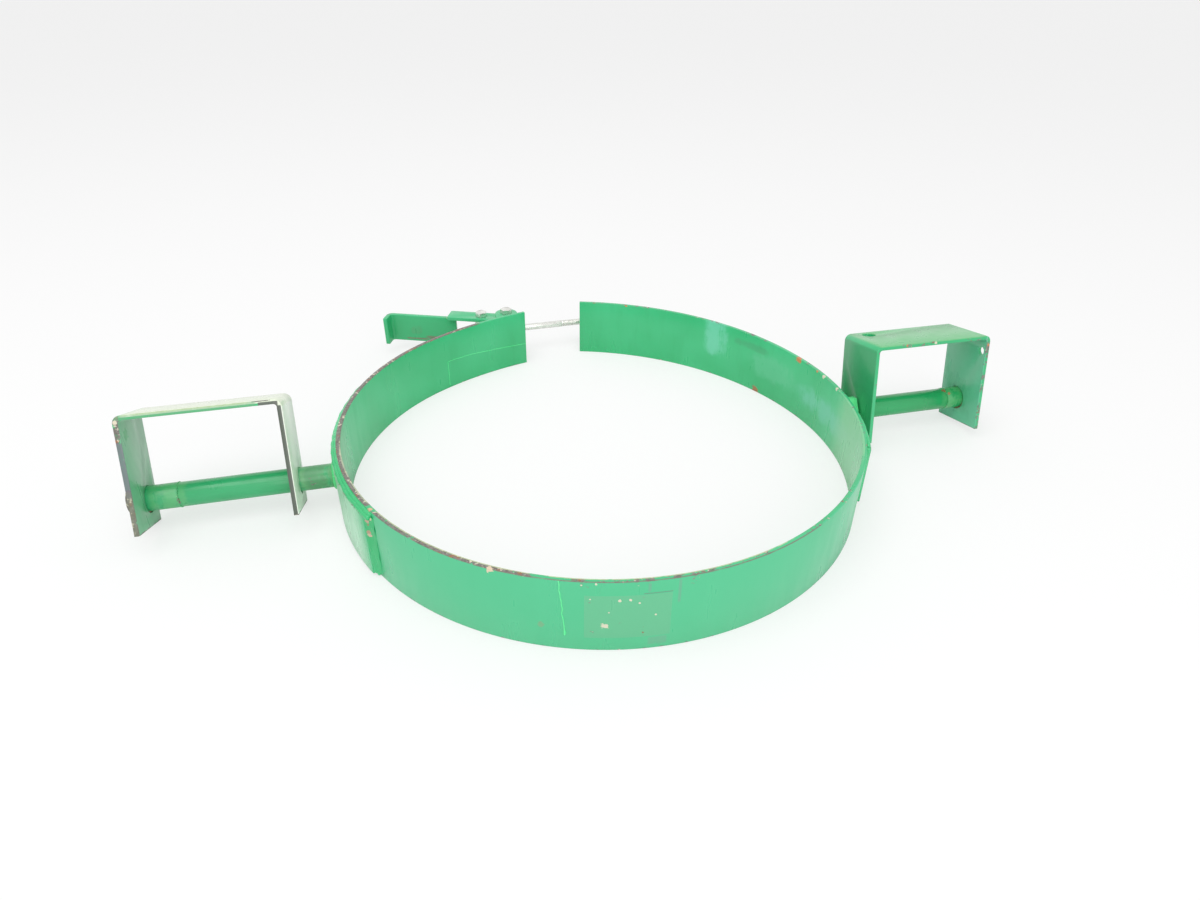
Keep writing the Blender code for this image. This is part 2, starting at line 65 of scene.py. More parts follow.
# Shafts
SHAFT_HEIGHT = 0.0353
SHAFT_RADIUS = 0.013
SHAFT_REACH = 0.501
SLEEVE_LENGTH = 0.0485
SLEEVE_START = SHAFT_REACH - SLEEVE_LENGTH
SPIGOT_RADIUS = 0.0115
SLEEVE_INNER = 0.0118
SLEEVE_RADIUS = 0.0133
END_PIN_REACH = 0.495
END_PIN_RADIUS = 0.0025
END_PIN_LENGTH = 0.042
END_WASHER_RADIUS = 0.0205
END_WASHER_SEAT = 0.4897
END_WASHER_THICKNESS = 0.0025

# Small lug on the right shaft: its section's corners, along Y and up from the shaft's axis
STOP_LUG = ((-0.0089, 0.0215), (-0.0185, 0.0078), (-0.0165, -0.004), (-0.002, 0.004), (-0.0005, 0.0200))
STOP_LUG_START = 0.3100
STOP_LUG_LENGTH = 0.0122

# Fork brackets
BRACKET_WIDTH = 0.1539
BRACKET_DEPTH = 0.0713
BRACKET_LEG = 0.1201
BRACKET_PLATE = 0.0048
BRACKET_BEND = 0.008
BEND_STEPS = 10
BRACKET_HOLE_RADIUS = 0.0145
BRACKET_HOLE_DROP = 0.0008
LEFT_BRACKET = (0.3336, 0.0283, 0.0237)   # inner leg, shaft to leg ends, shaft to rear edge
RIGHT_BRACKET = (0.3239, 0.0303, 0.0286)
WEB_HOLE_RADIUS = 0.008
WEB_HOLE_FROM_LEG = 0.0245
WEB_HOLE_FROM_REAR = 0.014
LEG_HOLE_RADIUS = 0.0049
LEG_HOLE_FROM_FRONT = 0.0085
LEG_HOLE_FROM_TOP = 0.0208

# Clamp lever and its ears
CLAMP_HEIGHT = 0.0353
PIVOT = Vector((-0.060507, 0.274259, CLAMP_HEIGHT))
LEVER_OPEN = 21.6                         # degrees that the handle stands out from the X axis
ROD_THROW = 0.0378
ROD_TURN = math.atan2(0.032965, 0.999457)
STRAP_LOW = 0.0206
STRAP_WIDTH = 0.0257
STRAP_THICKNESS = 0.0047
STRAP_REACH = 0.0863
STRAP_CORNER = 0.003
HANDLE_START = 0.0762
HANDLE_REACH = 0.181
HANDLE_HEIGHT = 0.0406
HANDLE_THICKNESS = 0.006
HANDLE_LIP = 0.0235
HANDLE_BEND = 0.009
EAR_HALF_WIDTH = 0.016
EAR_LOW = 0.0055                          # above a strap's lower face
EAR_THICKNESS = 0.0063
EAR_FOOT_GAP = 0.0004

# Fasteners and draw rod
BOLT_RADIUS = 0.00476
BOLT_HOLE_GAP = 0.0004
HEX_APOTHEM = 0.00714
HEX_CHAMFER = 28                          # degrees that a hexagon's corners are turned off at
HEAD_HEIGHT = 0.0062
NUT_HEIGHT = 0.0082
THIN_NUT_HEIGHT = 0.0055
SEAT_GAP = 0.0003                         # between two faces that are screwed together
THREAD_PITCH = 0.00159
THREAD_ROOT = 0.88                        # core of a thread as a share of its bolt
THREAD_SHOWING = 0.0012                   # bolt end beyond its nut
WASHER_BORE = 0.00506
WASHER_RADIUS = 0.0103
WASHER_THICKNESS = 0.0016
ROD_RADIUS = 0.00476
ROD_START = 0.0098
ROD_THREAD_START = 0.1215                 # from the rod bolt to the first thread
ROD_END = 0.0265                          # thread beyond the lock nut
ROD_WASHER_RADIUS = 0.0127
ROD_WASHER_THICKNESS = 0.0025
BARREL_RADIUS = 0.0095
BARREL_PLAY = 0.0005
LUG_AT = 0.170753                         # from the rod bolt to the middle of the lug
LUG_THICKNESS = 0.0095
LUG_CORNER = 0.002
CLAMP_SLACK = 0.0065                      # between lug and rod washer

# Widths of weld beads and paint runs, and the distance from one ripple to the next
SLEEVE_BEAD = 0.0028
SADDLE_END_BEAD = 0.0068
EAR_BEAD = 0.0042
RIB_BEAD = 0.0045
STRAP_BEAD = 0.0034
RIPPLE_PITCH = 0.0028
LONG_RIPPLE_PITCH = 0.0034
RUN_WIDTH = 0.0012
THIN_RUN_WIDTH = 0.0009

# How far edges are rounded
FINE_EDGE = 0.0003
WASHER_EDGE = 0.0004
BAR_EDGE = 0.0006
PLATE_EDGE = 0.0007
WORN_EDGE = 0.0009


def deselect():
    bpy.ops.object.select_all(action="DESELECT")


def take(piece):
    deselect()
    piece.select_set(True)
    bpy.context.view_layer.objects.active = piece


def settle(piece):
    """Put the object's place into its mesh."""
    take(piece)
    bpy.ops.object.transform_apply(location=True, rotation=True, scale=True)


def edit(piece, mode="FACE"):
    take(piece)
    bpy.ops.object.mode_set(mode="EDIT")
    bpy.ops.mesh.select_mode(type=mode)


def edit_all(piece):
    edit(piece)
    bpy.ops.mesh.select_all(action="SELECT")


def extrude(*by):
    bpy.ops.mesh.extrude_region_move(TRANSFORM_OT_translate={"value": by})


def leave():
    bpy.ops.object.mode_set(mode="OBJECT")


def pick(piece, kind, test):
    """Select the faces, edges or corners of the edited mesh that pass a test."""
    bpy.ops.mesh.select_all(action="DESELECT")
    mesh = bmesh.from_edit_mesh(piece.data)
    for item in getattr(mesh, kind):
        if test(item):
            item.select_set(True)
    mesh.select_flush_mode()
    bmesh.update_edit_mesh(piece.data)


def apply(piece, kind, **settings):
    take(piece)
    modifier = piece.modifiers.new(kind.lower(), kind)
    for key, value in settings.items():
        setattr(modifier, key, value)
    bpy.ops.object.modifier_apply(modifier=modifier.name)
    return piece


def round_edges(piece, width, segments=2, above=50):
    return apply(
        piece,
        "BEVEL",
        width=width,
        segments=segments,
        limit_method="ANGLE",
        angle_limit=math.radians(above),
        use_clamp_overlap=True,
    )


def combine(piece, other, operation):
    apply(piece, "BOOLEAN", operation=operation, solver="EXACT", object=other)
    bpy.data.objects.remove(other, do_unlink=True)
    return piece


def cut(piece, cutter):
    return combine(piece, cutter, "DIFFERENCE")


def join(piece, *others):
    take(piece)
    for other in others:
        other.select_set(True)
    bpy.ops.object.join()
    return piece


def move(piece, matrix):
    """Move a piece by a matrix and keep its place in its mesh."""
    piece.matrix_world = matrix @ piece.matrix_world
    settle(piece)
    return piece


def named(name):
    made = bpy.context.object
    made.name = name
    made.data.name = name
    return made


def block(name, low, high):
    low = Vector(low)
    high = Vector(high)
    deselect()
    bpy.ops.mesh.primitive_cube_add(size=1, location=(low + high) / 2)
    piece = named(name)
    piece.scale = high - low
    settle(piece)
    return piece


def drum(name, radius, low, high, corners=64):
    """Round or many-sided bar along Z."""
    deselect()
    bpy.ops.mesh.primitive_cylinder_add(
        vertices=corners,
        radius=radius,
        depth=high - low,
        location=(0, 0, (low + high) / 2),
    )
    piece = named(name)
    settle(piece)
    return piece


def ring_piece(name, inner, outer, low, high, corners=64):
    """Washer or sleeve along Z."""
    return cut(
        drum(name, outer, low, high, corners),
        drum(name + "_hole", inner, low - 0.001, high + 0.001, corners),
    )


def section(name, across, up, centre, turn):
    """Upright rectangle whose width points outwards from Z at the angle turn."""
    deselect()
    bpy.ops.mesh.primitive_plane_add(size=1, location=centre, rotation=(math.pi / 2, 0, turn))
    piece = named(name)
    piece.scale = (across, up, 1)
    settle(piece)
    return piece


def flat_shape(name, corners):
    """One flat face with its corners at given places."""
    deselect()
    bpy.ops.mesh.primitive_circle_add(vertices=len(corners), radius=0.005, fill_type="NGON")
    piece = named(name)
    for corner, place in zip(piece.data.vertices, corners):
        corner.co = place
    return piece


def path_through(name, points, kind):
    """Curve through a row of points, as a guide for a bead or a run of paint."""
    path = bpy.data.curves.new(name, "CURVE")
    path.dimensions = "3D"
    spline = path.splines.new(kind)
    spline.points.add(len(points) - 1)
    for point, place in zip(spline.points, points):
        point.co = (*place, 1)
    made = bpy.data.objects.new(name, path)
    bpy.context.collection.objects.link(made)
    return made, spline


def spin_on(angle, centre, axis, steps):
    """Spin the selection right-handed about an axis; the operator itself turns the other way."""
    bpy.ops.mesh.spin(steps=steps, angle=-angle, center=centre, axis=axis, use_auto_merge=False)


def close_up(piece):
    bpy.ops.mesh.select_all(action="SELECT")
    bpy.ops.mesh.remove_doubles(threshold=1e-6)
    bpy.ops.mesh.normals_make_consistent(inside=False)
    leave()
    return piece


def on_circle(angle, radius):
    return Vector((radius * math.cos(math.radians(angle)), radius * math.sin(math.radians(angle)), 0))


def band_arcs():
    """Centre, radius of the inner face, start angle and sweep of the band's three arcs."""
    left, left_radius, left_sweep = LEFT_SPRING
    right, right_radius, right_sweep = RIGHT_SPRING
    return [
        (RING + on_circle(left, DRUM_RADIUS - left_radius), left_radius, left - left_sweep, left_sweep),
        (RING, DRUM_RADIUS, left, 360 + right - left),
        (RING + on_circle(right, DRUM_RADIUS - right_radius), right_radius, right, right_sweep),
    ]


def strip(name, arcs, offset, thickness, low, high):
    """Flat bar on edge, spun along arcs, its inner face an offset outside them."""
    centre, radius, start, _ = arcs[0]
    middle = centre + on_circle(start, radius + offset + thickness / 2)
    middle.z = (low + high) / 2
    piece = section(name, thickness, high - low, middle, math.radians(start))
    edit_all(piece)
    for centre, _, _, sweep in arcs:
        spin_on(math.radians(sweep), centre, (0, 0, 1), max(2, round(sweep / ARC_STEP)))
    return close_up(piece)


def bracket_turn(sizes):
    """Lean of a bracket that rests on its legs' rear corners."""
    _, drop, rear = sizes
    return math.atan2(rear, drop) - math.acos(min(1, SHAFT_HEIGHT / math.hypot(drop, rear)))


def bracket_place(sizes):
    at_shaft = Matrix.Translation((RING.x, RING.y, SHAFT_HEIGHT))
    return at_shaft @ Matrix.Rotation(-bracket_turn(sizes), 4, "X")


def fork_bracket(name, side, sizes):
    """Flat bar bent twice into a U, with a hole for the shaft in each leg."""
    inner, drop, rear = sizes
    half = BRACKET_PLATE / 2
    top = BRACKET_LEG - drop
    outer = inner + BRACKET_WIDTH
    deselect()
    start = (side * (inner + half), rear - BRACKET_DEPTH / 2, -drop)
    bpy.ops.mesh.primitive_plane_add(size=1, location=start)
    piece = named(name)
    piece.scale = (BRACKET_PLATE, BRACKET_DEPTH, 1)
    settle(piece)
    edit_all(piece)
    leg = BRACKET_LEG - BRACKET_BEND
    for share in (0.12, 0.76, 0.12):
        extrude(0, 0, leg * share)
    bend_height = top - BRACKET_BEND
    quarter = side * math.pi / 2
    spin_on(quarter, (side * (inner + BRACKET_BEND), 0, bend_height), (0, 1, 0), BEND_STEPS)
    web = BRACKET_WIDTH - 2 * BRACKET_BEND
    extrude(side * web, 0, 0)
    spin_on(quarter, (side * (outer - BRACKET_BEND), 0, bend_height), (0, 1, 0), BEND_STEPS)
    extrude(0, 0, -leg)
    close_up(piece)
    bore = drum(name + "_bore", BRACKET_HOLE_RADIUS, inner - 0.01, outer + 0.01)
    along = Matrix.Translation((0, 0, -BRACKET_HOLE_DROP)) @ Matrix.Rotation(quarter, 4, "Y")
    cut(piece, move(bore, along))
    return piece


def hex_stock(name, height, both_ends):
    """Hexagon from z = 0 up, its corners turned off at the top or at both ends."""
    piece = drum(name, HEX_APOTHEM / math.cos(math.pi / 6), 0, height, 6)
    for upwards in ((True, False) if both_ends else (True,)):
        deselect()
        near = HEX_APOTHEM * 0.97
        wide = near + height / math.tan(math.radians(HEX_CHAMFER))
        bpy.ops.mesh.primitive_cone_add(
            vertices=64,
            radius1=wide if upwards else near,
            radius2=near if upwards else wide,
            depth=height,
            location=(0, 0, height / 2),
        )
        cone = named(name + "_turning")
        settle(cone)
        combine(piece, cone, "INTERSECT")
    return piece


def thread(name, radius, low, high):
    """Closed helical ridge round Z."""
    root = radius * 0.86
    deselect()
    bpy.ops.mesh.primitive_circle_add(vertices=3, radius=0.001, fill_type="NOTHING")
    piece = named(name)
    corners = ((root, 0), (radius, THREAD_PITCH * 0.45), (root, THREAD_PITCH * 0.9))
    for corner, (out, up) in zip(piece.data.vertices, corners):
        corner.co = (out, 0, low + up)
    turns = int((high - low) / THREAD_PITCH) - 1
    apply(
        piece,
        "SCREW",
        axis="Z",
        angle=math.tau,
        screw_offset=THREAD_PITCH,
        iterations=turns,
        steps=24,
        render_steps=24,
        use_merge_vertices=False,
    )
    edit(piece, "EDGE")
    bpy.ops.mesh.select_all(action="DESELECT")
    bpy.ops.mesh.select_non_manifold()
    bpy.ops.mesh.edge_face_add()
    return close_up(piece)


def bolt(name, length, threaded):
    """Hexagon bolt with its head above z = 0."""
    head = hex_stock(name, HEAD_HEIGHT, False)
    core = drum(name + "_shank", BOLT_RADIUS * THREAD_ROOT, -length, HEAD_HEIGHT / 2, 32)
    round_edges(core, BAR_EDGE)
    ridge = thread(name + "_thread", BOLT_RADIUS, -length, -length + threaded)
    plain = drum(name + "_plain", BOLT_RADIUS, -length + threaded, HEAD_HEIGHT / 2, 32)
    combine(head, plain, "UNION")
    return join(head, core, ridge)


def nut(name, height):
    piece = hex_stock(name, height, True)
    return cut(piece, drum(name + "_bore", BOLT_RADIUS + 0.00015, -0.001, height + 0.001, 32))


def weld(name, points, width, height_share=0.8, pitch=RIPPLE_PITCH, closed=False, seed=0):
    """Row of overlapping ripples along a path, run together into one bead."""
    guide, spline = path_through(name + "_path", points, "POLY")
    spline.use_cyclic_u = closed
    corners = points + points[:1] if closed else points
    length = sum((after - before).length for before, after in zip(corners, corners[1:]))
    count = max(2, round(length / pitch))
    step = length / count if closed else (length - pitch) / (count - 1)
    deselect()
    bpy.ops.mesh.primitive_ico_sphere_add(subdivisions=3, radius=width / 2, location=(pitch / 2, 0, 0))
    bead = named(name)
    bead.scale = (0.62, height_share, height_share)
    settle(bead)
    apply(
        bead,
        "ARRAY",
        fit_type="FIXED_COUNT",
        count=count,
        use_relative_offset=False,
        use_constant_offset=True,
        constant_offset_displace=(step, 0, 0),
    )
    for corner in bead.data.vertices:
        place = corner.co + Vector((seed * 3.7, seed * 1.3, 0))
        swell = 1 + 0.24 * noise.noise(place * 110) + 0.06 * noise.noise(place * 420)
        corner.co.y *= swell
        corner.co.z *= swell
    apply(bead, "CURVE", object=guide, deform_axis="POS_X")
    bpy.data.objects.remove(guide, do_unlink=True)
    apply(bead, "REMESH", mode="VOXEL", voxel_size=width / 9)
    apply(bead, "SMOOTH", factor=0.5, iterations=2)
    return bead


def tone(red, green, blue):
    """Linear colour of an sRGB tone in 255ths."""
    linear = [((c / 255 + 0.055) / 1.055) ** 2.4 if c > 10 else c / 3295 for c in (red, green, blue)]
    return (*linear, 1)


PAINT = tone(50, 184, 119)
PAINT_PALE = tone(64, 194, 132)
PAINT_DEEP = tone(34, 158, 92)
PAINT_THICK = tone(52, 190, 118)
DUST = tone(122, 184, 146)
# Painted highlights: near-white glare laid on the left bracket's lit faces
PAINTED_GLARE = tone(228, 238, 214)
PAINTED_WHITE_GLARE = tone(242, 246, 234)
STEEL = tone(132, 132, 124)
RUST = tone(150, 104, 74)
CREAM = tone(222, 214, 190)
ORANGE = tone(205, 130, 80)
UMBER = tone(104, 98, 90)
SLATE = tone(114, 114, 124)
ZINC = tone(234, 234, 229)
ZINC_DULL = tone(206, 206, 200)
OXIDE = tone(150, 128, 102)

# Where the paint's pattern has chipped off or worn through, and where tints and marks take hold
CHIPPED = (0.94, 0.955)
WORN_THROUGH = (1.16, 1.22)
TINT_HOLD = (0.25, 1.0)
MARK_HOLD = (0.40, 0.95)


def feed(tree, socket, value):
    if isinstance(value, bpy.types.NodeSocket):
        tree.links.new(value, socket)
    else:
        socket.default_value = value


def node(tree, kind, settings=None, **inputs):
    made = tree.nodes.new("ShaderNode" + kind)
    for key, value in (settings or {}).items():
        setattr(made, key, value)
    for key, value in inputs.items():
        feed(tree, made.inputs[key.replace("_", " ")], value)
    return made


def maths(tree, operation, *values):
    made = node(tree, "Math", {"operation": operation})
    for socket, value in zip(made.inputs, values):
        feed(tree, socket, value)
    return made.outputs[0]


def times(tree, first, second):
    return maths(tree, "MULTIPLY", first, second)


def plus(tree, first, second):
    return maths(tree, "ADD", first, second)


def ramp(tree, value, low, high, start=0.0, end=1.0):
    made = node(
        tree,
        "MapRange",
        {"interpolation_type": "SMOOTHSTEP"},
        Value=value,
        From_Min=low,
        From_Max=high,
        To_Min=start,
        To_Max=end,
    )
    return made.outputs["Result"]


def grain(tree, where, scale, detail=3.0, roughness=0.55):
    made = node(tree, "TexNoise", Vector=where, Scale=scale, Detail=detail, Roughness=roughness)
    return made.outputs["Fac"]


def mix(tree, factor, first, second):
    made = node(tree, "Mix", {"data_type": "RGBA"})
    feed(tree, made.inputs[0], factor)
    feed(tree, made.inputs[6], first)
    feed(tree, made.inputs[7], second)
    return made.outputs[2]


def blank(name):
    material = bpy.data.materials.new(name)
    material.use_nodes = True
    tree = material.node_tree
    where = node(tree, "TexCoord").outputs["Object"]
    return material, tree, tree.nodes["Principled BSDF"], where


def bump(tree, shader, height, distance, strength):
    made = node(tree, "Bump", Height=height, Distance=distance, Strength=strength)
    tree.links.new(made.outputs["Normal"], shader.inputs["Normal"])


def places(tree, where):
    """Coordinates, and the angle round the ring in degrees from 90 to 450, which meet in the band's gap."""
    parts = dict(zip("xyz", node(tree, "SeparateXYZ", Vector=where).outputs))
    out = maths(tree, "SUBTRACT", parts["y"], RING.y)
    angle = maths(tree, "DEGREES", maths(tree, "ARCTAN2", out, parts["x"]))
    turned = maths(tree, "FLOORED_MODULO", maths(tree, "SUBTRACT", angle, 90.0), 360.0)
    parts["a"] = plus(tree, turned, 90.0)
    squares = plus(tree, times(tree, out, out), times(tree, parts["x"], parts["x"]))
    parts["r"] = maths(tree, "SQRT", squares)
    return parts


def within(tree, parts, windows):
    """1 inside every window (coordinate, low, high, softness), 0 outside."""
    mask = None
    for axis, low, high, soft in windows:
        rise = ramp(tree, parts[axis], low - soft, low + soft)
        fall = ramp(tree, parts[axis], high - soft, high + soft, 1.0, 0.0)
        side = times(tree, rise, fall)
        mask = side if mask is None else times(tree, mask, side)
    return mask


def tinted(tree, parts, pattern, colour, tints, hold):
    """Lay tints over a colour, each broken up by a pattern."""
    for tint, amount, breakup, windows in tints:
        drift = maths(tree, "MULTIPLY_ADD", pattern, breakup * 2.0, 1.0 - breakup)
        mask = ramp(tree, times(tree, within(tree, parts, windows), drift), *hold, 0.0, amount)
        colour = mix(tree, mask, colour, tint)
    return colour


def green_paint(name, place=None, wear=(), tints=(), marks=(), spots=(), tones=None):
    """Old brushed paint.

    Wear is (amount, windows), a tint under it or a mark over it is (colour, amount, break-up, windows),
    and a spot is (colour, radius, centre).
    """
    material, tree, shader, where = blank(name)
    local = where
    if place is not None:
        local = node(
            tree,
            "Mapping",
            {"vector_type": "TEXTURE"},
            Vector=where,
            Location=place.translation,
            Rotation=place.to_euler(),
        ).outputs["Vector"]
    parts = places(tree, local)
    middle, pale, deep = tones or (PAINT, PAINT_PALE, PAINT_DEEP)
    streak = node(tree, "Mapping", Vector=where, Scale=(55, 55, 10)).outputs["Vector"]
    brushed = grain(tree, streak, 1.0, 3.0, 0.6)
    wide = grain(tree, where, 9.0, 2.0)
    fine = grain(tree, where, 420.0, 4.0, 0.65)
    patchy = grain(tree, where, 95.0, 4.0, 0.62)
    mottle = plus(tree, times(tree, brushed, 0.6), times(tree, patchy, 0.4))
    colour = mix(tree, ramp(tree, wide, 0.36, 0.66), middle, pale)
    colour = mix(tree, ramp(tree, brushed, 0.50, 0.80, 0.0, 0.20), colour, deep)
    colour = tinted(tree, parts, mottle, colour, tints, TINT_HOLD)
    under = mix(tree, ramp(tree, fine, 0.40, 0.60), UMBER, STEEL)
    under = mix(tree, ramp(tree, grain(tree, where, 150.0), 0.60, 0.66), under, RUST)
    under = mix(tree, ramp(tree, grain(tree, where, 260.0), 0.60, 0.65), under, CREAM)
    bare = ramp(tree, plus(tree, patchy, times(tree, fine, 0.25)), *CHIPPED)
    ragged = plus(tree, times(tree, patchy, 0.9), times(tree, fine, 0.5))
    for amount, windows in wear:
        worn = times(tree, within(tree, parts, windows), amount)
        bare = maths(tree, "MAXIMUM", bare, ramp(tree, plus(tree, worn, ragged), *WORN_THROUGH))
    colour = tinted(tree, parts, patchy, mix(tree, bare, colour, under), marks, MARK_HOLD)
    for spot_colour, radius, centre in spots:
        away = node(tree, "VectorMath", {"operation": "DISTANCE"})
        feed(tree, away.inputs[0], where)
        feed(tree, away.inputs[1], centre)
        edge = maths(tree, "MULTIPLY_ADD", ragged, radius * 3.0, away.outputs["Value"])
        colour = mix(tree, ramp(tree, edge, radius * 3.05, radius * 2.9), colour, spot_colour)
    tree.links.new(colour, shader.inputs["Base Color"])
    gloss = ramp(tree, brushed, 0.3, 0.7, 0.26, 0.40)
    tree.links.new(plus(tree, gloss, times(tree, bare, 0.3)), shader.inputs["Roughness"])
    shader.inputs["Coat Weight"].default_value = 0.35
    shader.inputs["Coat Roughness"].default_value = 0.16
    relief = maths(tree, "SUBTRACT", times(tree, brushed, 0.14), times(tree, bare, 0.8))
    bump(tree, shader, relief, 0.0004, 0.5)
    return material


def clouded_metal(name, clouds, tones, spread, metallic, roughness, relief, strength):
    """Metal whose tone and gloss drift between two values."""
    material, tree, shader, where = blank(name)
    drift = grain(tree, where, *clouds)
    tree.links.new(mix(tree, ramp(tree, drift, *spread), *tones), shader.inputs["Base Color"])
    shader.inputs["Metallic"].default_value = metallic
    tree.links.new(ramp(tree, drift, 0.3, 0.7, *roughness), shader.inputs["Roughness"])
    bump(tree, shader, drift, relief, strength)
    return material


def zinc(name):
    clouds = (180.0, 4.0, 0.6)
    return clouded_metal(name, clouds, (ZINC, ZINC_DULL), (0.38, 0.72), 0.72, (0.18, 0.34), 0.0001, 0.15)


def dark_steel(name):
    clouds = (160.0, 5.0, 0.65)
    return clouded_metal(name, clouds, (OXIDE, RUST), (0.42, 0.62), 0.35, (0.45, 0.75), 0.0002, 0.5)


def finish(piece, body, slot, material, *nodes, angle=35):
    """Shade, paint and hang a finished piece on its body."""
    take(piece)
    bpy.ops.object.shade_smooth_by_angle(angle=math.radians(angle))
    piece.data.materials.clear()
    piece.data.materials.append(material)
    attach(piece, body)
    if nodes:
        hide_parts(*nodes)
    return piece


def make_band():
    band = strip("band", band_arcs(), 0, BAND_THICKNESS, 0, BAND_HEIGHT)
    round_edges(band, BAR_EDGE)
    finish(band, "ring", "green_paint", band_paint(), "ring_band")


def on_band(angle, height, outside=False):
    """Point on the band's inner or outer face at an angle round the ring."""
    arc = 0 if angle < LEFT_SPRING[0] else 2 if angle > 360 + RIGHT_SPRING[0] else 1
    centre, radius, _, _ = band_arcs()[arc]
    if outside:
        radius += BAND_THICKNESS
    along = on_circle(angle, 1)
    shift = centre - RING
    reach = along.dot(shift) + math.sqrt(radius**2 - shift.length_squared + along.dot(shift) ** 2)
    return RING + along * reach + Vector((0, 0, height))


def inside(reach):
    """The band's inner face, where its outer face is further from the ring's middle than the reach."""
    return ("r", 0.27, reach, 0.0004)


def band_paint():
    rim = ("z", BAND_HEIGHT - 0.0007, BAND_HEIGHT + 0.001, 0.0003)
    crown = ("z", BAND_HEIGHT - 0.0005, BAND_HEIGHT + 0.001, 0.0003)
    inner_rim = ("r", DRUM_RADIUS - 0.001, DRUM_RADIUS + 0.0015, 0.0003)
    outer_rim = ("r", DRUM_RADIUS + 0.0036, DRUM_RADIUS + 0.0060, 0.0003)
    outer_face = ("r", DRUM_RADIUS + BAND_THICKNESS - 0.0014, 0.31, 0.0004)
    bare_patch = (("a", 252.6, 267.5, 0.10), ("z", 0.015, 0.064, 0.0006), outer_face)
    wear = (
        (0.86, (rim, ("a", 111, 207, 3))),
        (0.60, (rim, ("a", 207, 246, 4))),
        (0.44, (rim, ("a", 246, 290, 5))),
        (0.40, (rim, ("a", 290, 450, 6))),
        (0.40, (("z", -0.001, 0.0018, 0.0010),)),
        (0.30, bare_patch),
        (0.34, (("a", 250, 275, 2), ("z", 0.068, 0.08, 0.002), outer_face)),
    )
    tints = [
        # Painted light: the band's outer face is painted paler round the front, where the light falls on it
        (tone(76, 194, 142), 0.80, 0.1, (("a", 207, 320, 8), outer_face)),
        (tone(100, 186, 140), 0.75, 0.15, bare_patch),
    ]
    # Each with its stretch of angles, stretch of heights, and reach
    for tint, amount, breakup, angles, heights, reach in (
        (tone(110, 208, 172), 0.90, 1.9, (398.5, 405.5, 2.6), (0.030, 0.088, 0.014), 0.2962),
        (tone(104, 202, 166), 0.85, 2.2, (344, 372, 6), (0.022, 0.052, 0.016), 0.2885),
        (tone(92, 198, 148), 0.60, 2.2, (374, 390, 5), (0.026, 0.060, 0.014), 0.2902),
        (tone(62, 158, 108), 0.50, 1.6, (384.5, 396.5, 2.0), (0.058, 0.068, 0.005), 0.2908),
        # Painted reflection of the white surroundings, on the inner face at the right front
        (tone(140, 206, 156), 0.70, 0.6, (324, 354, 8), (-0.01, 0.09, 0.004), 0.2885),
        # Painted reflection of the white surroundings, on the inner face at the left front
        (tone(112, 182, 134), 0.60, 0.5, (172, 208, 8), (-0.01, 0.09, 0.004), 0.2885),
    ):
        tints.append((tint, amount, breakup, (("a", *angles), ("z", *heights), inside(reach))))
    marks = [
        (tone(206, 220, 172), 0.75, 1.7, (crown, inner_rim, ("a", 205, 292, 6))),
        (tone(116, 108, 100), 0.85, 0.9, (crown, outer_rim, ("a", 232, 300, 6))),
        (tone(190, 204, 170), 0.80, 2.0, (crown, inner_rim, ("a", 180, 205, 4))),
    ]
    for mark, amount, breakup, angles, heights in (
        (tone(96, 140, 118), 0.8, 0.3, (262.5, 267.6, 0.3), (0.0645, 0.0658, 0.0003)),
        (tone(108, 166, 140), 0.6, 0.5, (268.4, 269.0, 0.15), (0.050, 0.078, 0.004)),
        (tone(108, 166, 140), 0.6, 0.5, (263.2, 263.8, 0.15), (0.066, 0.077, 0.003)),
        (tone(112, 170, 142), 0.5, 0.9, (263.6, 267.0, 0.4), (0.004, 0.014, 0.002)),
    ):
        marks.append((mark, amount, breakup, (("a", *angles), ("z", *heights), outer_face)))
    # Chips by tone, radius, angle round the ring and height
    outer_chips = (
        (CREAM, 0.0036, 256.0, 0.0295),
        (tone(112, 176, 128), 0.0036, 245.2, 0.0265),
        (CREAM, 0.0016, 258.6, 0.0585),
        (CREAM, 0.0014, 260.4, 0.0590),
        (CREAM, 0.0011, 261.9, 0.0550),
        (CREAM, 0.0011, 264.8, 0.0400),
        (CREAM, 0.0011, 256.8, 0.0450),
        (CREAM, 0.0011, 253.6, 0.0600),
        (CREAM, 0.0014, 252.2, 0.0755),
        (CREAM, 0.0012, 254.6, 0.0770),
        (tone(222, 200, 172), 0.0036, 236.5, 0.0780),
        (tone(214, 178, 142), 0.0026, 207.6, 0.0780),
    )
    inner_chips = (
        (ORANGE, 0.0046, 373.75, 0.0768),
        (CREAM, 0.0026, 363.0, 0.0780),
        (ORANGE, 0.0022, 366.0, 0.0790),
        (CREAM, 0.0026, 356.5, 0.0780),
        (tone(168, 118, 76), 0.0070, 387.3, 0.0010),
        (ORANGE, 0.0022, 429.0, 0.0785),
    )
    spots = [
        (chip, radius, on_band(angle, height, outside))
        for chips, outside in ((outer_chips, True), (inner_chips, False))
        for chip, radius, angle, height in chips
    ]
    return green_paint("band_paint", wear=wear, tints=tints, marks=marks, spots=spots)


def saddle_arcs(name):
    """The stretches of the band that a saddle plate lies on."""
    if name == "left":
        start, sweep = LEFT_SADDLE
        return [(RING, DRUM_RADIUS, start, sweep)]
    start, sweep = RIGHT_SADDLE
    leaves, radius, _ = RIGHT_SPRING
    centre = RING + on_circle(leaves, DRUM_RADIUS - radius)
    beyond = (start + sweep - leaves) * DRUM_RADIUS / radius
    return [(RING, DRUM_RADIUS, start, leaves - start), (centre, radius, leaves, beyond)]


def make_saddles(paint):
    offset = BAND_THICKNESS + WELD_GAP
    for name in ("left", "right"):
        arcs = saddle_arcs(name)
        saddle = strip(name + "_saddle", arcs, offset, SADDLE_THICKNESS, SADDLE_LOW, SADDLE_HIGH)
        round_edges(saddle, WORN_EDGE, 3)
        finish(saddle, "ring", "green_paint", paint, name + "_saddle_plate")


